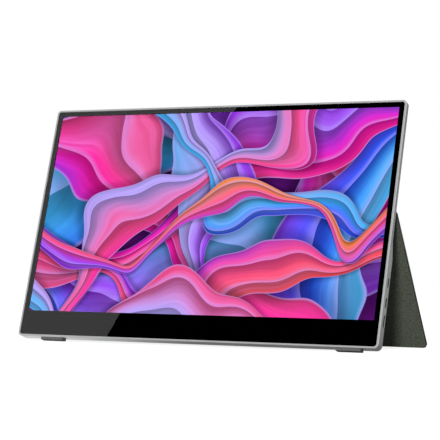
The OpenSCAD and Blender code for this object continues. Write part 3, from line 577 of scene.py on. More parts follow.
SATIN = Finish("satin_aluminium", (0.50, 0.505, 0.51), (0.58, 0.585, 0.59), (0.3, 0.38), Grain.BLASTED,
               0.12 * MM, 0.004 * MM, metallic=1.0)
BUTTON_METAL = brushed("button_aluminium", (0.42, 0.425, 0.43), (0.5, 0.505, 0.51), (0.24, 0.32),
                       0.1 * MM, 0.003 * MM)
TRAY_METAL = brushed("tray_aluminium", (0.6, 0.6, 0.61), (0.68, 0.69, 0.7), (0.3, 0.45),
                     0.2 * MM, 0.005 * MM)
TINNED = brushed("tinned_steel", (0.55, 0.56, 0.57), (0.68, 0.69, 0.7), (0.25, 0.45), 0.4 * MM)
SOCKET_STEEL = brushed("socket_steel", (0.56, 0.56, 0.57), (0.66, 0.66, 0.67), (0.2, 0.3),
                       0.1 * MM, 0.003 * MM)
SCREW_STEEL = brushed("screw_steel", (0.3, 0.3, 0.31), (0.4, 0.4, 0.41), (0.25, 0.4), 0.1 * MM, 0.005 * MM)
GOLD = brushed("contact_gold", (0.75, 0.5, 0.18), (0.85, 0.6, 0.25), (0.2, 0.3), 0.1 * MM)
NICKEL = Finish("nickel", (0.55, 0.53, 0.49), (0.64, 0.62, 0.58), (0.15, 0.3), size=0.3 * MM, metallic=1.0)
GLASS = Clear("cover_glass", 1.5)
GEL = Clear("clear_layer", 1.02)
ACRYLIC = Clear("clear_acrylic", 1.49, 0.05)
TAPE = Finish("black_tape", (0.0006, 0.0006, 0.0007), (0.001, 0.001, 0.001), (0.8, 0.9), specular=0.0)
MOULDING = Finish("black_moulding", (0.012, 0.012, 0.013), (0.02, 0.02, 0.021), (0.5, 0.65), size=0.15 * MM)
MESH = Finish("black_mesh", (0.006, 0.006, 0.006), (0.03, 0.03, 0.03), (0.5, 0.7), Grain.WOVEN,
              0.25 * MM, 0.05 * MM)
FILM = Finish("white_film", (0.82, 0.83, 0.84), (0.9, 0.9, 0.91), (0.3, 0.5), size=0.1 * MM)
DIODES = Finish("led_yellow", (0.75, 0.6, 0.12), (0.9, 0.85, 0.5), (0.3, 0.5), size=1.5 * MM)
BOARD = Finish("green_board", (0.01, 0.09, 0.04), (0.05, 0.22, 0.1), (0.25, 0.4), Grain.TRACED,
               2.2 * MM, 0.03 * MM, coat=0.3)
AMBER_FLEX = Finish("amber_flex", (0.42, 0.2, 0.03), (0.6, 0.33, 0.07), (0.25, 0.35), Grain.TRACED, 1.2 * MM)
DARK_FLEX = Finish("dark_flex", (0.02, 0.02, 0.024), (0.05, 0.05, 0.055), (0.3, 0.45), Grain.BRUSHED,
                   0.5 * MM)
CHIP = Finish("black_chip", (0.014, 0.014, 0.015), (0.03, 0.03, 0.032), (0.45, 0.6), size=0.2 * MM)
CERAMIC = Finish("tan_ceramic", (0.2, 0.13, 0.07), (0.34, 0.24, 0.15), (0.4, 0.6), size=0.3 * MM)
PAD = Finish("heat_pad", (0.3, 0.36, 0.5), (0.4, 0.46, 0.6), (0.7, 0.9), size=0.4 * MM, relief=0.05 * MM)
WIRE = Finish("red_wire", (0.4, 0.02, 0.015), (0.55, 0.04, 0.03), (0.4, 0.5), size=0.3 * MM)
RUBBER = Finish("foot_rubber", tint(76, 76, 77), tint(90, 90, 91), (0.65, 0.85), size=0.3 * MM,
                relief=0.02 * MM, specular=0.3)
FIBRE_BOARD = Finish("fibre_board", (0.1, 0.085, 0.065), (0.17, 0.15, 0.12), (0.8, 0.95), size=1.2 * MM,
                     relief=0.06 * MM)
LEATHER = Leather("olive_leather", (0.082, 0.092, 0.07), (0.02, 0.022, 0.018))
LINING = Microfibre("grey_microfibre", (0.045, 0.046, 0.05), (0.1, 0.102, 0.108))
PICTURE = LitPicture()


@dataclass(frozen=True)
class Box:
    """Lowest and highest corner of something in a square frame."""

    low: Vector
    high: Vector

    @property
    def size(self) -> Vector:
        """Width, depth and height."""
        return self.high - self.low

    @property
    def middle(self) -> Vector:
        """The box's middle."""
        return (self.low + self.high) / 2

    @property
    def corners(self) -> tuple[tuple[float, float], ...]:
        """X and Z of its four corners, from the lower left one through the lower right one."""
        low, high = self.low, self.high
        return (low.x, low.z), (high.x, low.z), (high.x, high.z), (low.x, high.z)


@dataclass(frozen=True)
class Place:
    """A square frame that pieces are drawn in, and how it stands in the row frame."""

    matrix: Matrix

    def box(self, *nodes: str) -> Box:
        """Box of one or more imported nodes, measured square in this frame."""
        back = self.matrix.inverted()
        points = [back @ vertex.co for node in nodes for vertex in frame["nodes"][node].data.vertices]
        low, high = (Vector(pick(point[axis] for point in points) for axis in range(3))
                     for pick in (min, max))
        return Box(low, high)

    def point(self, across: float, depth: float, height: float) -> Vector:
        """A point of this frame, in the row frame."""
        return self.matrix @ Vector((across, depth, height))


class Repeats(Wiring):
    """A Geometry Nodes tree that is built here, run on a plain mesh and turned into a plain mesh again."""

    def __init__(self, name: str, sizes: dict[str, float | int]) -> None:
        """Starts a tree with one named input for each size."""
        self.tree = bpy.data.node_groups.new(name, "GeometryNodeTree")
        self.tree.interface.new_socket("Geometry", in_out="INPUT", socket_type="NodeSocketGeometry")
        self.tree.interface.new_socket("Geometry", in_out="OUTPUT", socket_type="NodeSocketGeometry")
        self.identifiers = {}
        for size, value in sizes.items():
            kind = "NodeSocketInt" if isinstance(value, int) else "NodeSocketFloat"
            socket = self.tree.interface.new_socket(size, in_out="INPUT", socket_type=kind)
            socket.default_value = value
            self.identifiers[size] = socket.identifier
        super().__init__(self.tree)
        self.given = self.add("NodeGroupInput").outputs

    def block(self, size: Sequence[object], shift: Sequence[object] = (0.0, 0.0, 0.0)) -> Socket:
        """A small box, moved by shift."""
        cube = self.add("GeometryNodeMeshCube", {"Size": self.vector(*size)}).outputs["Mesh"]
        moved = self.add("GeometryNodeTransform", {"Geometry": cube, "Translation": self.vector(*shift)})
        return moved.outputs[0]

    def joined(self, *shapes: Socket) -> Socket:
        """Several shapes as one."""
        join = self.add("GeometryNodeJoinGeometry")
        for shape in shapes:
            self.links.new(shape, join.inputs[0])
        return join.outputs[0]

    def instances(self, points: Socket, shape: Socket, **inputs: object) -> Socket:
        """The shape at every point."""
        named = {name.capitalize(): value for name, value in inputs.items()}
        named.update(Points=points, Instance=shape)
        return self.add("GeometryNodeInstanceOnPoints", named).outputs[0]

    def end(self, *layers: tuple[Socket, Finish]) -> None:
        """Ends the tree in real mesh, each layer in its own finish."""
        made = []
        for shape, finish in layers:
            real = self.add("GeometryNodeRealizeInstances", {0: shape}).outputs[0]
            inputs = {"Geometry": real, "Material": finish.material()}
            made.append(self.add("GeometryNodeSetMaterial", inputs).outputs[0])
        self.add("NodeGroupOutput", {0: self.joined(*made)})

    def run(self, points: Sequence[Vector], **sizes: float | int) -> bpy.types.Mesh:
        """Runs the tree on a few points.

        Args:
            points: where it puts its rows or fields.
            sizes: inputs that differ from their defaults, with underscores for spaces.

        Returns:
            A new plain mesh.
        """
        source = bpy.data.meshes.new("points")
        source.from_pydata(points, [], [])
        carrier = bpy.data.objects.new("carrier", source)
        bpy.context.scene.collection.objects.link(carrier)
        modifier = carrier.modifiers.new("repeats", "NODES")
        modifier.node_group = self.tree
        for size, value in sizes.items():
            modifier[self.identifiers[size.replace("_", " ")]] = value
        shaped = carrier.evaluated_get(bpy.context.evaluated_depsgraph_get())
        made = bpy.data.meshes.new_from_object(shaped)
        carrier.modifiers.remove(modifier)
        bpy.data.objects.remove(carrier)
        return made

    @staticmethod
    def piece(name: str, place: Place, meshes: Sequence[bpy.types.Mesh]) -> Piece:
        """One piece of several results, which were made in that square frame."""
        maker = bmesh.new()
        for mesh in meshes:
            maker.from_mesh(mesh)
        maker.transform(place.matrix)
        piece = from_bmesh(name, maker, maker.faces)
        used = [material for material in meshes[0].materials if material]
        empty = len(meshes[0].materials) - len(used)
        for face in piece.data.polygons:
            face.material_index -= empty
        for material in used:
            piece.data.materials.append(material)
        return piece


def joint(name: str) -> dict:
    """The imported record's joint of that name."""
    return next(found for found in frame["joints"] if found["name"] == name)


def upright() -> Place:
    """The screen's own frame: X along it, Y from the lip to the back, Z up it from its lower edge."""
    _, level, drop = joint("rocker_tilt")["axis"]
    lean = Matrix.Rotation(-math.atan2(-drop, level), 4, "X")
    box = Place(lean).box("rear_housing")
    return Place(lean @ Matrix.Translation((0, box.low.y, box.low.z)))


def along_leg(screen: Place) -> Place:
    """The leg's own frame: Z up the leg to the crease, which it turns about, and Y to its lined side."""
    crease = joint("crease_bend")
    swing = Matrix.Rotation(-math.radians(crease["range_deg"][0]), 4, "X")
    turn = screen.matrix.to_3x3().to_4x4() @ swing
    return Place(Matrix.Translation(crease["pos_m"]) @ turn)


def joint_place(place: Place, name: str) -> Vector:
    """Where a joint's axis is in a square frame."""
    return place.matrix.inverted() @ Vector(joint(name)["pos_m"])


def dress(piece: Piece, *finishes: Finish | Leather | Microfibre | Clear | LitPicture) -> Piece:
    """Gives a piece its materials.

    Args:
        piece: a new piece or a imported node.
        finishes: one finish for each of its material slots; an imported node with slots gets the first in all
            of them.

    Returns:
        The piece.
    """
    made = [finish.material() for finish in finishes]
    if piece.get("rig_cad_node") and piece.material_slots:
        for held in piece.material_slots:
            held.material = made[0]
    else:
        if piece.data.materials:
            piece.data.materials.clear()
        for material in made:
            piece.data.materials.append(material)
    return piece


def seat(piece: Piece, body: str, *nodes: str) -> Piece:
    """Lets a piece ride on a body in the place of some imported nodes, and reports it."""
    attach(piece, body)
    if nodes:
        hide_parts(*nodes)
    LOG.info("%s rides on %s, %d faces", piece.name, body, len(piece.data.polygons))
    return piece


def dress_packed(finishes: dict[str, Finish | Clear]) -> None:
    """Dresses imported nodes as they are, each in its finish, and reports them."""
    for node, finish in finishes.items():
        dress(frame["nodes"][node], finish)
    LOG.info("dressed as packed: %s", ", ".join(finishes))


def from_bmesh(name: str, mesh_maker: bmesh.types.BMesh, flat: Sequence[bmesh.types.BMFace] = ()) -> Piece:
    """Turns mesh code into a piece of the scene.

    Args:
        name: the piece's name.
        mesh_maker: the mesh, which is freed.
        flat: the faces that are shaded flat; the others are shaded smooth.

    Returns:
        The piece.
    """
    mesh_maker.faces.index_update()
    flat_faces = {face.index for face in flat}
    mesh = bpy.data.meshes.new(name)
    mesh_maker.to_mesh(mesh)
    mesh_maker.free()
    mesh.shade_smooth()
    mesh.set_sharp_from_angle(angle=SHARP_ANGLE)
    for index in flat_faces:
        mesh.polygons[index].use_smooth = False
    piece = bpy.data.objects.new(name, mesh)
    bpy.context.scene.collection.objects.link(piece)
    return piece


def soften(piece: Piece, edge: float, segments: int = 2) -> Piece:
    """Rounds a piece's sharp edges and keeps its flats flat."""
    bevel = piece.modifiers.new("edges", "BEVEL")
    bevel.width = edge
    bevel.segments = segments
    bevel.limit_method = "ANGLE"
    bevel.angle_limit = BEVEL_ANGLE
    piece.data.set_sharp_from_angle(angle=math.pi)
    flat = piece.modifiers.new("flats", "WEIGHTED_NORMAL")
    flat.keep_sharp = True
    return piece


def merged_copy(node: str, name: str) -> Piece:
    """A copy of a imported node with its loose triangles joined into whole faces."""
    maker = bmesh.new()
    maker.from_mesh(frame["nodes"][node].data)
    bmesh.ops.remove_doubles(maker, verts=maker.verts, dist=WELD)
    bmesh.ops.dissolve_limit(maker, angle_limit=FLAT_ANGLE, verts=maker.verts, edges=maker.edges)
    return from_bmesh(name, maker)


def softened(node: str, name: str, edge: float, finish: Finish, body: str, segments: int = 2) -> Piece:
    """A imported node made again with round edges, in its place on that body."""
    piece = soften(merged_copy(node, name), edge, segments)
    return seat(dress(piece, finish), body, node)


@dataclass(frozen=True)
class Outline:
    """Rectangle in X and Z with round lower and upper corners."""

    box: Box
    lower: float
    upper: float
    steps: int = 8
    least: float = 0.02 * MM

    def loop(self, inset: float, depth: float) -> list[Vector]:
        """Points round the outline, moved in by inset, at that depth."""
        low, high = self.box.low, self.box.high
        lower, upper = (max(radius - inset, self.least) for radius in (self.lower, self.upper))
        corners = ((low.x, low.z, 1, 1, lower, math.pi), (high.x, low.z, -1, 1, lower, 1.5 * math.pi),
                   (high.x, high.z, -1, -1, upper, 0.0), (low.x, high.z, 1, -1, upper, 0.5 * math.pi))
        points = []
        for x, z, right, up, radius, start in corners:
            centre = (x + right * (inset + radius), z + up * (inset + radius))
            for step in range(self.steps + 1):
                angle = start + step / self.steps * math.pi / 2
                points.append(Vector((centre[0] + radius * math.cos(angle), depth,
                                      centre[1] + radius * math.sin(angle))))
        return points


def loft(name: str, place: Place, outline: Outline, profile: Sequence[tuple[float, float]],
         edge_rows: range = range(0)) -> Piece:
    """Closed shell through the outline's loops.

    Args:
        name: the piece's name.
        place: the frame that it is drawn in.
        outline: what each loop follows.
        profile: inset and depth of each loop, from one cap round the edge to the other cap.
        edge_rows: the loops of the rounded edge that take a darker colour.

    Returns:
        The piece, with a point attribute named edge that is 1 on those loops.
    """
    maker = bmesh.new()
    edge = maker.verts.layers.float.new("edge")
    rings = []
    for row, (inset, depth) in enumerate(profile):
        ring = [maker.verts.new(place.matrix @ point) for point in outline.loop(inset, depth)]
        for vertex in ring:
            vertex[edge] = 1.0 if row in edge_rows else 0.0
        rings.append(ring)
    for inner, outer in zip(rings, rings[1:]):
        for index, vertex in enumerate(inner):
            after = (index + 1) % len(inner)
            maker.faces.new((vertex, inner[after], outer[after], outer[index]))
    caps = (maker.faces.new(rings[0]), maker.faces.new(rings[-1][::-1]))
    bmesh.ops.recalc_face_normals(maker, faces=maker.faces)
    return from_bmesh(name, maker, caps)


def quarter(inset: float, depth: float, radius: float, side: int,
            steps: int = 4) -> list[tuple[float, float]]:
    """Round edge as insets and depths, from the flat to the wall where side is 1 and back where it is -1.

    Args:
        inset, depth: where the flat's plane and the wall's plane would meet.
        radius: of the round; a negative one turns the depth the other way.
        side: 1 to run from the flat to the wall, -1 to run from the wall to the flat.
        steps: how many faces the round has.

    Returns:
        The points of the round in order.
    """
    points = []
    for step in range(steps + 1):
        angle = math.pi / 2 * (step / steps if side > 0 else 1 - step / steps)
        points.append((inset + abs(radius) * (1 - math.sin(angle)), depth + radius * (1 - math.cos(angle))))
    return points


def across(name: str, place: Place, half_width: float, section: Sequence[tuple[float, float]]) -> Piece:
    """Closed strip across the cover, with the same section from end to end.

    Args:
        name: the piece's name.
        place: the frame that it is drawn in.
        half_width: half of its length across the cover.
        section: depth and height of points along one face, then of as many points back along the other.

    Returns:
        The piece.
    """
    maker = bmesh.new()
    ends = [[maker.verts.new(place.point(x, y, z)) for y, z in section] for x in (-half_width, half_width)]
    count = len(section)
    for index in range(count):
        after = (index + 1) % count
        maker.faces.new((ends[0][index], ends[0][after], ends[1][after], ends[1][index]))
    for ring in ends:
        for step in range(count // 2 - 1):
            maker.faces.new((ring[step], ring[step + 1], ring[count - 2 - step], ring[count - 1 - step]))
    bmesh.ops.recalc_face_normals(maker, faces=maker.faces)
    return from_bmesh(name, maker)


def band(name: str, place: Place, half_width: float, stations: Sequence[tuple[float, float, float]]) -> Piece:
    """Closed strip across the cover through stations of height, front depth and back depth.

    Args:
        name: the piece's name.
        place: the frame that it is drawn in.
        half_width: half of its length across the cover.
        stations: height, front depth and back depth, from one end to the other.

    Returns:
        The piece.
    """
    section = [(front, z) for z, front, _ in stations] + [(back, z) for z, _, back in reversed(stations)]
    return across(name, place, half_width, section)


def square(name: str, size: float, matrix: Matrix) -> Piece:
    """Flat square of that size, placed by the matrix."""
    maker = bmesh.new()
    bmesh.ops.create_grid(maker, x_segments=1, y_segments=1, size=size / 2, matrix=matrix)
    return from_bmesh(name, maker)


@dataclass(frozen=True)
class Lamp:
    """Soft square lamp that shines at the object and shows in no mirror."""

    name: str
    place: tuple[float, float, float]
    size: float
    power: float

    def hang(self) -> None:
        """Puts the lamp in the scene."""
        data = bpy.data.lights.new(self.name, "AREA")
        data.size = self.size
        data.energy = self.power
        lamp = bpy.data.objects.new(self.name, data)
        lamp.location = self.place
        lamp.rotation_euler = (-Vector(self.place)).to_track_quat("-Z", "Y").to_euler()
        lamp.visible_glossy = False
        lamp.visible_transmission = False
        bpy.context.scene.collection.objects.link(lamp)


@dataclass
class Studio:
    """White floor and surroundings, soft lamps, and the camera at the photograph's viewpoint."""

    eye: Vector = field(default_factory=lambda: Vector((0.68724, -1.39474, 0.06922)))
    look: Vector = field(default_factory=lambda: Vector((-0.4435, 0.89591, 0.02888)))
    lens: float = 138.1
    roll: float = math.radians(0.9)
    surroundings: Ramp = Ramp(0.0, 1.0, 0.32, 1.0)
    floor_size: float = 12.0
    floor_height: float = -0.02 * MM
    floor_colour: float = 0.3
    floor_glow: Ramp = Ramp(0.6, 2.4, 0.86, 1.0)
    # Painted shadow on the floor that only mirrors see: darkest near the object and towards its right.
    shade_near: Ramp = Ramp(0.5, 1.2, 0.76, 0.0)
    shade_right: Ramp = Ramp(-175 * MM, 20 * MM)
    grey_card: float = 0.3
    grey_card_size: float = 1.2
    grey_card_place: tuple[float, float, float] = (0.76, 1.17, 0.45)
    card_distance: float = 6.0
    card_margin: float = 8 * MM
    glare_foot: float = -83.8 * MM
    glare_head: float = 13.6 * MM
    lamps: tuple[Lamp, ...] = (
        Lamp("lamp_front_left", (-1.6, -1.8, 1.7), 1.4, 26),
        Lamp("lamp_front_low", (0.78, -2.38, 0.42), 0.25, 66),
        Lamp("lamp_back_right", (1.9, 1.7, 1.6), 1.4, 50),
    )

    def camera(self) -> None:
        """Stands the camera where the photograph was taken from."""
        data = bpy.data.cameras.new("camera")
        data.lens = self.lens
        data.sensor_width = 36
        camera = bpy.data.objects.new("camera", data)
        camera.location = self.eye
        aim = self.look.to_track_quat("-Z", "Y") @ Quaternion((0, 0, 1), self.roll)
        camera.rotation_euler = aim.to_euler()
        bpy.context.scene.collection.objects.link(camera)
        bpy.context.scene.camera = camera

    def seen(self, wiring: Wiring, *rays: str) -> Socket:
        """1 for those kinds of rays, and 0 for the others and once a ray has left a matt face.

        Args:
            wiring: the tree that asks.
            rays: outputs of the light path; none means straight, mirrored and through glass.

        Returns:
            1 or 0.
        """
        path = wiring.add("ShaderNodeLightPath").outputs
        kind = 0.0
        for ray in rays or ("Is Camera Ray", "Is Glossy Ray", "Is Transmission Ray"):
            kind = wiring.maths("MAXIMUM", kind, path[ray])
        return wiring.product(kind, wiring.maths("LESS_THAN", path["Diffuse Depth"], 0.5))

    def world(self) -> None:
        """White all round to the eye, and a plain even light."""
        world = bpy.data.worlds.new("world")
        bpy.context.scene.world = world
        world.use_nodes = True
        wiring = Wiring(world.node_tree)
        wiring.nodes.clear()
        strength = wiring.spread(self.seen(wiring), self.surroundings)
        ground = wiring.add("ShaderNodeBackground", {"Color": (1.0, 1.0, 1.0), "Strength": strength})
        output = wiring.add("ShaderNodeOutputWorld")
        wiring.put(output.inputs["Surface"], ground.outputs[0])

    def floor(self) -> None:
        """White floor that keeps a faint shadow of the object. Mirrored rays see a plain glow with a painted
        shadow instead, darkest near the object and towards its right.
        """
        floor = square("floor", self.floor_size, Matrix.Translation((0, 0, self.floor_height)))
        paint = Paint("floor")
        away = paint.away()
        shine = paint.glow(paint.product(self.seen(paint), paint.spread(away, self.floor_glow)))
        matt = paint.add("ShaderNodeBsdfDiffuse", {"Color": (self.floor_colour,) * 3})
        both = paint.add("ShaderNodeAddShader", {0: shine.outputs[0], 1: matt.outputs[0]})
        right = paint.add("ShaderNodeSeparateXYZ", {0: paint.place}).outputs["X"]
        # Painted shadow for mirrored rays, darkest near the object and towards its right.
        shade = paint.product(paint.spread(away, self.shade_near), paint.spread(right, self.shade_right))
        mirrored = paint.glow(paint.maths("SUBTRACT", 1.0, shade))
        inputs = {0: self.seen(paint, "Is Glossy Ray"), 1: both.outputs[0], 2: mirrored.outputs[0]}
        floor.data.materials.append(paint.end(paint.add("ShaderNodeMixShader", inputs)))

    def hide(self, card: Piece, *rays: str) -> None:
        """Hides a card from those kinds of rays."""
        for ray in rays:
            setattr(card, "visible_" + ray, False)

    def side_card(self) -> None:
        """Grey card at the right and the back that only metal sees."""
        centre = Vector(self.grey_card_place)
        aim = (-centre).to_track_quat("Z", "Y").to_matrix().to_4x4()
        card = square("grey_card", self.grey_card_size, Matrix.Translation(centre) @ aim)
        paint = Paint("grey_card")
        card.data.materials.append(paint.end(paint.glow(self.grey_card)))
        self.hide(card, "camera", "diffuse", "transmission", "volume_scatter", "shadow")

    def card(self, screen: Place) -> None:
        """Black card that only mirrors see, behind the lit area and the glass right of a slanting line."""
        glass = screen.box("cover_glass")
        lit = screen.box("clear_adhesive")
        lean = (self.glare_head - self.glare_foot) / glass.size.z
        bottom, top = glass.low.z - self.card_margin, glass.high.z + self.card_margin
        right = glass.high.x + self.card_margin

        def slant(height: float) -> tuple[float, float]:
            """Where the slanting line is at that height of the glass."""
            return self.glare_foot + lean * (height - glass.low.z), height

        corners = (slant(bottom), slant(lit.low.z), (lit.low.x, lit.low.z), (lit.low.x, lit.high.z),
                   slant(lit.high.z), slant(top), (right, top), (right, bottom))
        points = [screen.point(x, glass.low.y, z) for x, z in corners]
        outward = screen.matrix.to_3x3() @ Vector((0, -1, 0))
        depth = (self.eye - points[0]).dot(outward)
        image = self.eye - 2 * depth * outward
        reach = self.card_distance / depth
        maker = bmesh.new()
        maker.faces.new([maker.verts.new(point + (point - image) * reach) for point in points])
        card = from_bmesh("black_card", maker)
        black = Paint("card").surface(base_color=(0.0, 0.0, 0.0), specular_ior_level=0.0, roughness=1.0)
        card.data.materials.append(black)
        self.hide(card, "camera", "diffuse", "volume_scatter", "shadow")

    def build(self, screen: Place) -> None:
        """Sets up everything that isn't the object."""
        self.camera()
        self.world()
        self.floor()
        self.card(screen)
        self.side_card()
        for lamp in self.lamps:
            lamp.hang()
        bpy.context.scene.view_settings.view_transform = "Standard"
        LOG.info("studio is set up with %d lamps", len(self.lamps))


@dataclass
class Housing:
    """The metal tray, its feet and screws, and what holds the panel and the magnets in it."""

    edge: float = 0.12 * MM
    foot_edge: float = 0.25 * MM
    foot_steps: int = 3

    def build(self) -> None:
        """Builds the outside of the housing and dresses what is inside."""
        softened("rear_housing", "satin_tray", self.edge, SATIN, "monitor")
        softened("rubber_feet", "soft_feet", self.foot_edge, RUBBER, "monitor", self.foot_steps)
        dress_packed({"housing_screws": SCREW_STEEL, "mid_frame": MOULDING, "chin_magnets": NICKEL})


@dataclass
class Screen:
    """Glass, clear gel, the lit cell and the layers of the backlight."""

    screen: Place
    glass_edge: float = 0.12 * MM
    corner: float = 2.5 * MM
    sunk: float = 0.02 * MM
    gel_gap: float = 0.1 * MM

    def glass(self) -> Piece:
        """Cover glass with ground edges. Its back takes in the tape's face, as a bonded pane's does."""
        box = self.screen.box("cover_glass")
        front, back = box.low.y, box.high.y + self.sunk
        profile = quarter(0.0, front, self.glass_edge, 1) + quarter(0.0, back, -self.glass_edge, -1)
        pane = loft("glass_pane", self.screen, Outline(box, self.corner, self.corner), profile)
        return seat(dress(pane, GLASS), "monitor", "cover_glass")

    def gel(self) -> Piece:
        """Clear gel between the glass and the cell, a hair thinner than its space."""
        box = self.screen.box("clear_adhesive")
        profile = ((0.0, box.low.y + 2 * self.sunk), (0.0, box.high.y - self.sunk))
        sheet = loft("gel_sheet", self.screen, Outline(box, 0.0, 0.0, 1), profile)
        return seat(dress(sheet, GEL), "monitor", "clear_adhesive")

    def cell(self) -> Piece:
        """The cell: a dark slab whose lit window carries the picture."""
        box = self.screen.box("lcd_cell")
        window = self.window()
        slab = bmesh.new()
        front, back = box.low.y, box.high.y
        rings = ((box, front), (window, front), (box, back))
        near, lit_ring, far = ([slab.verts.new(self.screen.point(x, depth, z)) for x, z in ring.corners]
                               for ring, depth in rings)
        for index in range(4):
            after = (index + 1) % 4
            slab.faces.new((near[index], near[after], lit_ring[after], lit_ring[index]))
            slab.faces.new((near[index], far[index], far[after], near[after]))
        slab.faces.new(far[::-1])
        picture = slab.faces.new(lit_ring)
        picture.material_index = 1
        uv = slab.loops.layers.uv.new("picture")
        for corner, place in zip(picture.loops, ((0, 0), (1, 0), (1, 1), (0, 1))):
            corner[uv].uv = place
        bmesh.ops.recalc_face_normals(slab, faces=slab.faces)
        cell = from_bmesh("lit_cell", slab)
        return seat(dress(cell, MOULDING, PICTURE), "monitor", "lcd_cell")

    def window(self) -> Box:
        """The lit area: the window that the border tape leaves, measured by the gel that fills it."""
        gel = self.screen.box("clear_adhesive")
        gap = Vector((self.gel_gap, 0, self.gel_gap))
        return Box(gel.low - gap, gel.high + gap)

    def build(self) -> None:
        """Builds the bonded front and dresses the layers behind it."""
        self.glass()
        self.gel()
        self.cell()
        dress_packed({"border_tape": TAPE, "diffuser_films": FILM, "light_guide": ACRYLIC,
                      "reflector_sheet": FILM, "led_bar": DIODES, "panel_tray": TRAY_METAL,
                      "driver_board": BOARD, "panel_flexes": AMBER_FLEX, "display_cable": DARK_FLEX})


@dataclass
class Cover:
    """The leather cover: the strip on the monitor's back, the folds, the upper board and the prop leg."""

    screen: Place
    leg: Place
    skin: float = 0.7 * MM
    turn_in: float = 4.0 * MM
    edge_round: float = 0.6 * MM
    corner: float = 4.0 * MM
    square: float = 0.4 * MM
    nap: float = 0.12 * MM
    shoulder: float = 1.8 * MM
    plate_gap: float = 0.1 * MM
    pressed: float = 0.5
    fold_steps: int = 8
    turn_steps: int = 12
    band_slope: float = 0.3 * MM
    band_edge: float = 0.1 * MM

    def board_skin(self, part: str, place: Place, corner: float) -> Piece:
        """Leather glued round a stiff board and turned in on its lined side."""
        box = place.box(f"{part}_leather")
        seam = place.box(f"{part}_lining").low.y
        front, back = box.low.y, box.high.y
        rounded = quarter(0.0, front, self.edge_round, 1) + quarter(0.0, back, -self.edge_round, -1)
        profile = [(self.shoulder, front), *rounded]
        edge_rows = range(2, len(profile) - 1)
        profile += [(self.turn_in, back), (self.turn_in, seam)]
        profile += [(self.skin, seam), (self.skin, front + self.skin)]
        outline = Outline(box, corner, self.square)
        return dress(loft(f"{part}_skin", place, outline, profile, edge_rows), LEATHER)

    def lining(self, part: str, place: Place) -> Piece:
        """Microfibre laid on a stiff board within the turned-in edge, its nap a little proud."""
        box = place.box(f"{part}_lining")
        profile = [(0.0, box.low.y), *quarter(0.0, box.high.y + self.nap, -self.nap * 2, -1)]
        sheet = loft(f"{part}_nap", place, Outline(box, self.square, self.square), profile)
        return dress(sheet, LINING)

    def board(self, part: str, place: Place, body: str, corner: float) -> None:
        """Both faces of the upper board or of the leg."""
        seat(self.board_skin(part, place, corner), body, f"{part}_leather")
        seat(self.lining(part, place), body, f"{part}_lining")

    def strip(self) -> Piece:
        """Leather pressed over the steel plate on the monitor's back."""
        box = self.screen.box("strip_leather")
        plate = self.screen.box("mount_plate")
        inner = plate.low.x - box.low.x - self.plate_gap
        face, foot = box.high.y, box.low.y
        profile = [(self.shoulder, face), *quarter(0.0, face, -self.edge_round, 1)]
        edge_rows = range(2, len(profile) + 1)
        profile += [(0.0, foot), (inner, foot), (inner, face - self.skin)]
        shell = loft("strip_skin", self.screen, Outline(box, self.square, self.square), profile, edge_rows)
        return seat(dress(shell, LEATHER), "monitor", "strip_leather")

    def turn_over(self) -> Piece:
        """Leather turned back on itself between the strip and the part that flips."""
        box = self.screen.box("back_fold")
        middle, root = box.middle.y, joint_place(self.screen, "cover_flip").z
        outer = box.size.y / 2
        inner = outer - self.skin
        arc = [math.pi * step / self.turn_steps for step in range(self.turn_steps + 1)]
        section = [(middle - outer * math.cos(a), root + outer * math.sin(a)) for a in arc]
        section += [(section[-1][0], box.low.z), (section[-1][0] - self.skin, box.low.z)]
        section += [(middle - inner * math.cos(a), root + inner * math.sin(a)) for a in reversed(arc)]
        fold = dress(across("turned_fold", self.screen, box.size.x / 2, section), LEATHER)
        self.screen.point(0, middle - outer, root)
        self.screen.point(0, middle + outer, root)
        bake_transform(fold)
        return self.report_blend(fold, "back_fold")

    def report_blend(self, fold: Piece, node: str) -> Piece:
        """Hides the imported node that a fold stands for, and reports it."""
        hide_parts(node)
        LOG.info("%s bends for %s, %d faces", fold.name, node, len(fold.data.polygons))
        return fold

    def flat_fold(self, name: str, node: str, place: Place) -> Piece:
        """Soft groove where the leather bends, with the lining pressed down into it.

        Args:
            name: the piece's name.
            node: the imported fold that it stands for.
            place: the frame that it is drawn in.

        Returns:
            The piece.
        """
        box = place.box(node)
        thick = self.skin * self.pressed
        stations = []
        for step in range(self.fold_steps + 1):
            share = step / self.fold_steps
            z = box.high.z + (box.low.z - box.high.z) * share
            dip = math.sin(math.pi * share)
            stations.append((z, box.low.y, box.high.y + thick * (1 - dip)))
        fold = dress(band(name, place, box.size.x / 2, stations), LEATHER)
        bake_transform(fold)
        return self.report_blend(fold, node)

    def crease(self) -> Piece:
        """Leather bent round the crease of the leg, at rest already open at the stand angle."""
        upper = self.screen.box("upper_leather")
        strip = self.leg.box("crease_leather")
        root = joint_place(self.screen, "crease_bend")
        front = upper.low.y - root.y
        swing = -math.radians(joint("crease_bend")["range_deg"][0])
        above, below = upper.low.z - root.z, -strip.high.z
        faces = ([], [])
        for step in range(self.fold_steps + 1):
            share = step / self.fold_steps
            run = above - (above + below) * share
            ease = share * share * (3 - 2 * share)
            turn = Matrix.Rotation(swing * ease, 3, "X")
            thick = self.skin + self.skin * self.pressed * (1 - math.sin(math.pi * share))
            for face, depth in zip(faces, (front, front + thick)):
                point = root + turn @ Vector((0, depth, run))
                face.append((point.y, point.z))
        section = faces[0] + faces[1][::-1]
        fold = dress(across("crease_bend_skin", self.screen, upper.size.x / 2, section), LEATHER)
        self.screen.point(0, root.y + front, upper.low.z)
        self.leg.point(0, strip.low.y, strip.high.z)
        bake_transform(fold)
        return self.report_blend(fold, "crease_fold")

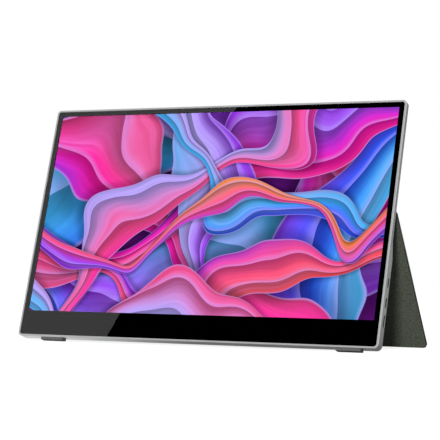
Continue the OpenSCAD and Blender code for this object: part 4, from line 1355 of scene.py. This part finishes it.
    def soft_bands(self) -> None:
        """The narrow bands between folds, each leather with its lining. The spine's nap is pressed flat."""
        bands = (("riser", self.screen, "back_riser", self.nap), ("spine", self.screen, "top_spine", 0.0),
                 ("crease", self.leg, "crease_strip", self.nap))
        for part, place, body, nap in bands:
            for layer, finish, proud in (("leather", LEATHER, 0.0), ("lining", LINING, nap)):
                node = f"{part}_{layer}"
                box = place.box(node)
                low, high = box.low, box.high
                heights = ((low.z, 0.0), (low.z + self.band_slope, proud),
                           (high.z - self.band_slope, proud), (high.z, 0.0))
                stations = [(z, low.y, high.y + lift) for z, lift in heights]
                strip = band(f"{node}_band", place, box.size.x / 2, stations)
                seat(dress(soften(strip, self.band_edge), finish), body, node)

    def build(self) -> None:
        """Builds the cover from the strip to the leg's free edge."""
        self.strip()
        self.turn_over()
        self.soft_bands()
        self.flat_fold("top_groove", "top_fold", self.screen)
        self.flat_fold("front_groove", "front_fold", self.screen)
        self.board("upper", self.screen, "upper_board", self.square)
        self.crease()
        self.flat_fold("leg_groove", "leg_hinge_strip", self.leg)
        self.board("leg", self.leg, "leg", self.corner)
        dress_packed({"cover_tape": MOULDING, "mount_plate": TINNED, "upper_stiffener": FIBRE_BOARD,
                      "upper_magnets": NICKEL, "leg_stiffener": FIBRE_BOARD, "leg_magnets": NICKEL})


@dataclass
class Controls:
    """Sockets, sound socket and keys."""

    screen: Place
    key_edge: float = 0.15 * MM
    pad_width: float = 0.26 * MM
    pad_length: float = 3.0 * MM
    pad_rise: float = 0.04 * MM
    pad_inset: float = 0.5 * MM
    usb_pads: int = 12
    usb_pitch: float = 0.5 * MM
    video_pads: tuple[int, int] = (10, 9)
    video_pitch: float = 0.8 * MM

    def tongue_faces(self, socket: str) -> tuple[Vector, Vector]:
        """Middle of the pad row on the front face and on the back face of a socket's tongue."""
        reach = self.screen.box(socket)
        back = self.screen.matrix.inverted()
        points = [back @ vertex.co for vertex in frame["nodes"]["socket_tongues"].data.vertices]
        tip = max(point.x for point in points)
        depths = [point.y for point in points
                  if point.x > tip - self.pad_inset and reach.low.z < point.z < reach.high.z]
        x = tip - self.pad_inset - self.pad_length / 2
        return tuple(Vector((x, depth, reach.middle.z)) for depth in (min(depths), max(depths)))

    def contacts(self) -> Piece:
        """Gold rows on both faces of the tongues, in one mesh."""
        rows = Repeats("contact_row", {
            "Count": self.usb_pads, "Pitch": self.usb_pitch, "Pad Width": self.pad_width,
            "Pad Length": self.pad_length, "Pad Rise": self.pad_rise})
        given = rows.given
        pad = rows.block((given["Pad Length"], rows.product(given["Pad Rise"], 2.0), given["Pad Width"]))
        first = rows.product(rows.maths("SUBTRACT", given["Count"], 1.0), given["Pitch"], -0.5)
        line = rows.add("GeometryNodeMeshLine", {
            "Count": given["Count"], "Start Location": rows.vector(0.0, 0.0, first),
            "Offset": rows.vector(0.0, 0.0, given["Pitch"])}, mode="OFFSET").outputs[0]
        rows.end((rows.instances(given["Geometry"], rows.instances(line, pad)), GOLD))
        usb = [*self.tongue_faces("usb_socket_upper"), *self.tongue_faces("usb_socket_lower")]
        meshes = [rows.run(usb)]
        for face, count in zip(self.tongue_faces("hdmi_socket"), self.video_pads):
            meshes.append(rows.run([face], Count=count, Pitch=self.video_pitch))
        return Repeats.piece("socket_contacts", self.screen, meshes)

    def build(self) -> None:
        """Dresses what shows on both walls."""
        dress_packed({"usb_socket_upper": SOCKET_STEEL, "usb_socket_lower": SOCKET_STEEL,
                      "hdmi_socket": SOCKET_STEEL, "socket_tongues": MOULDING, "audio_jack": MOULDING,
                      "tact_switches": CHIP})
        seat(self.contacts(), "monitor")
        softened("power_button", "power_cap", self.key_edge, BUTTON_METAL, "power_key")
        softened("menu_rocker", "rocker_cap", self.key_edge, BUTTON_METAL, "rocker_key")


@dataclass(frozen=True)
class Patch:
    """Part of a board where small parts stand in rows.

    The middle of the rows is measured across and up from the board's lower left corner.
    """

    board: str
    across: float
    up: float
    columns: int
    rows: int
    seed: int


@dataclass
class Electronics:
    """The boards, speakers and what is on them."""

    screen: Place
    pitch: float = 2.2 * MM
    fill: float = 0.72
    part_length: float = 1.5 * MM
    part_width: float = 0.8 * MM
    part_height: float = 0.5 * MM
    end_share: float = 0.26
    body_width: float = 0.96
    body_height: float = 0.94
    patches: tuple[Patch, ...] = (
        Patch("main_board", 35.8 * MM, 16.0 * MM, 6, 7, 3),
        Patch("main_board", 57.0 * MM, 27.5 * MM, 4, 17, 8),
        Patch("main_board", 42.0 * MM, 35.5 * MM, 1, 7, 5),
        Patch("main_board", 9.0 * MM, 25.0 * MM, 1, 10, 2),
        Patch("button_board", 10.0 * MM, 30.5 * MM, 3, 9, 7),
    )

    def rows(self) -> Repeats:
        """The tree that fills a grid with parts, each a body between two tinned ends, and leaves gaps."""
        tree = Repeats("small_parts", {
            "Columns": 4, "Rows": 4, "Pitch": self.pitch, "Fill": self.fill, "Seed": 1,
            "Length": self.part_length, "Width": self.part_width, "Height": self.part_height,
            "End Share": self.end_share})
        given = tree.given
        span = [tree.product(tree.maths("SUBTRACT", given[name], 1.0), given["Pitch"])
                for name in ("Columns", "Rows")]
        grid = tree.add("GeometryNodeMeshGrid", {
            "Size X": span[0], "Size Y": span[1],
            "Vertices X": given["Columns"], "Vertices Y": given["Rows"]}).outputs["Mesh"]
        grid = tree.add("GeometryNodeTransform", {"Geometry": grid, "Rotation": (math.pi / 2, 0.0, 0.0)})
        kept = tree.add("FunctionNodeRandomValue", {"Probability": given["Fill"], "Seed": given["Seed"]},
                        data_type="BOOLEAN").outputs["Value"]
        lift = tree.product(given["Height"], 0.5)
        end_length = tree.product(given["Length"], given["End Share"])
        half_gap = tree.product(tree.maths("SUBTRACT", given["Length"], end_length), 0.5)
        body_size = (tree.product(half_gap, 2.0), tree.product(given["Height"], self.body_height),
                     tree.product(given["Width"], self.body_width))
        end_size = (end_length, given["Height"], given["Width"])
        body = tree.block(body_size, (0.0, lift, 0.0))
        ends = [tree.block(end_size, (tree.product(half_gap, side), lift, 0.0)) for side in (-1.0, 1.0)]
        layers = []
        for shape, finish in ((body, CERAMIC), (tree.joined(*ends), TINNED)):
            field_of_parts = tree.instances(grid.outputs[0], shape, selection=kept)
            layers.append((tree.instances(given["Geometry"], field_of_parts), finish))
        tree.end(*layers)
        return tree

    def small_parts(self) -> Piece:
        """Resistors and capacitors on every patch, in one mesh."""
        tree = self.rows()
        meshes = []
        for patch in self.patches:
            board = self.screen.box(patch.board)
            middle = Vector((board.low.x + patch.across, board.high.y, board.low.z + patch.up))
            meshes.append(tree.run([middle], Columns=patch.columns, Rows=patch.rows, Seed=patch.seed))
        return Repeats.piece("small_board_parts", self.screen, meshes)

    def build(self) -> None:
        """Dresses the electronics and adds the small parts."""
        dress_packed({"main_board": BOARD, "board_chips": CHIP, "shield_can": TINNED, "heat_pad": PAD,
                      "button_board": BOARD, "button_flex": AMBER_FLEX, "speaker_left": MOULDING,
                      "speaker_right": MOULDING, "speaker_mesh": MESH, "speaker_leads": WIRE,
                      "board_screws": SCREW_STEEL})
        seat(self.small_parts(), "monitor")


def main() -> None:
    """Builds the studio and the object, sub-assembly by sub-assembly."""
    logging.basicConfig(level=logging.INFO, format="%(name)s: %(message)s")
    screen = upright()
    leg = along_leg(screen)
    Studio().build(screen)
    Housing().build()
    Screen(screen).build()
    Controls(screen).build()
    Electronics(screen).build()
    Cover(screen, leg).build()


if __name__ == "__main__":
    main()
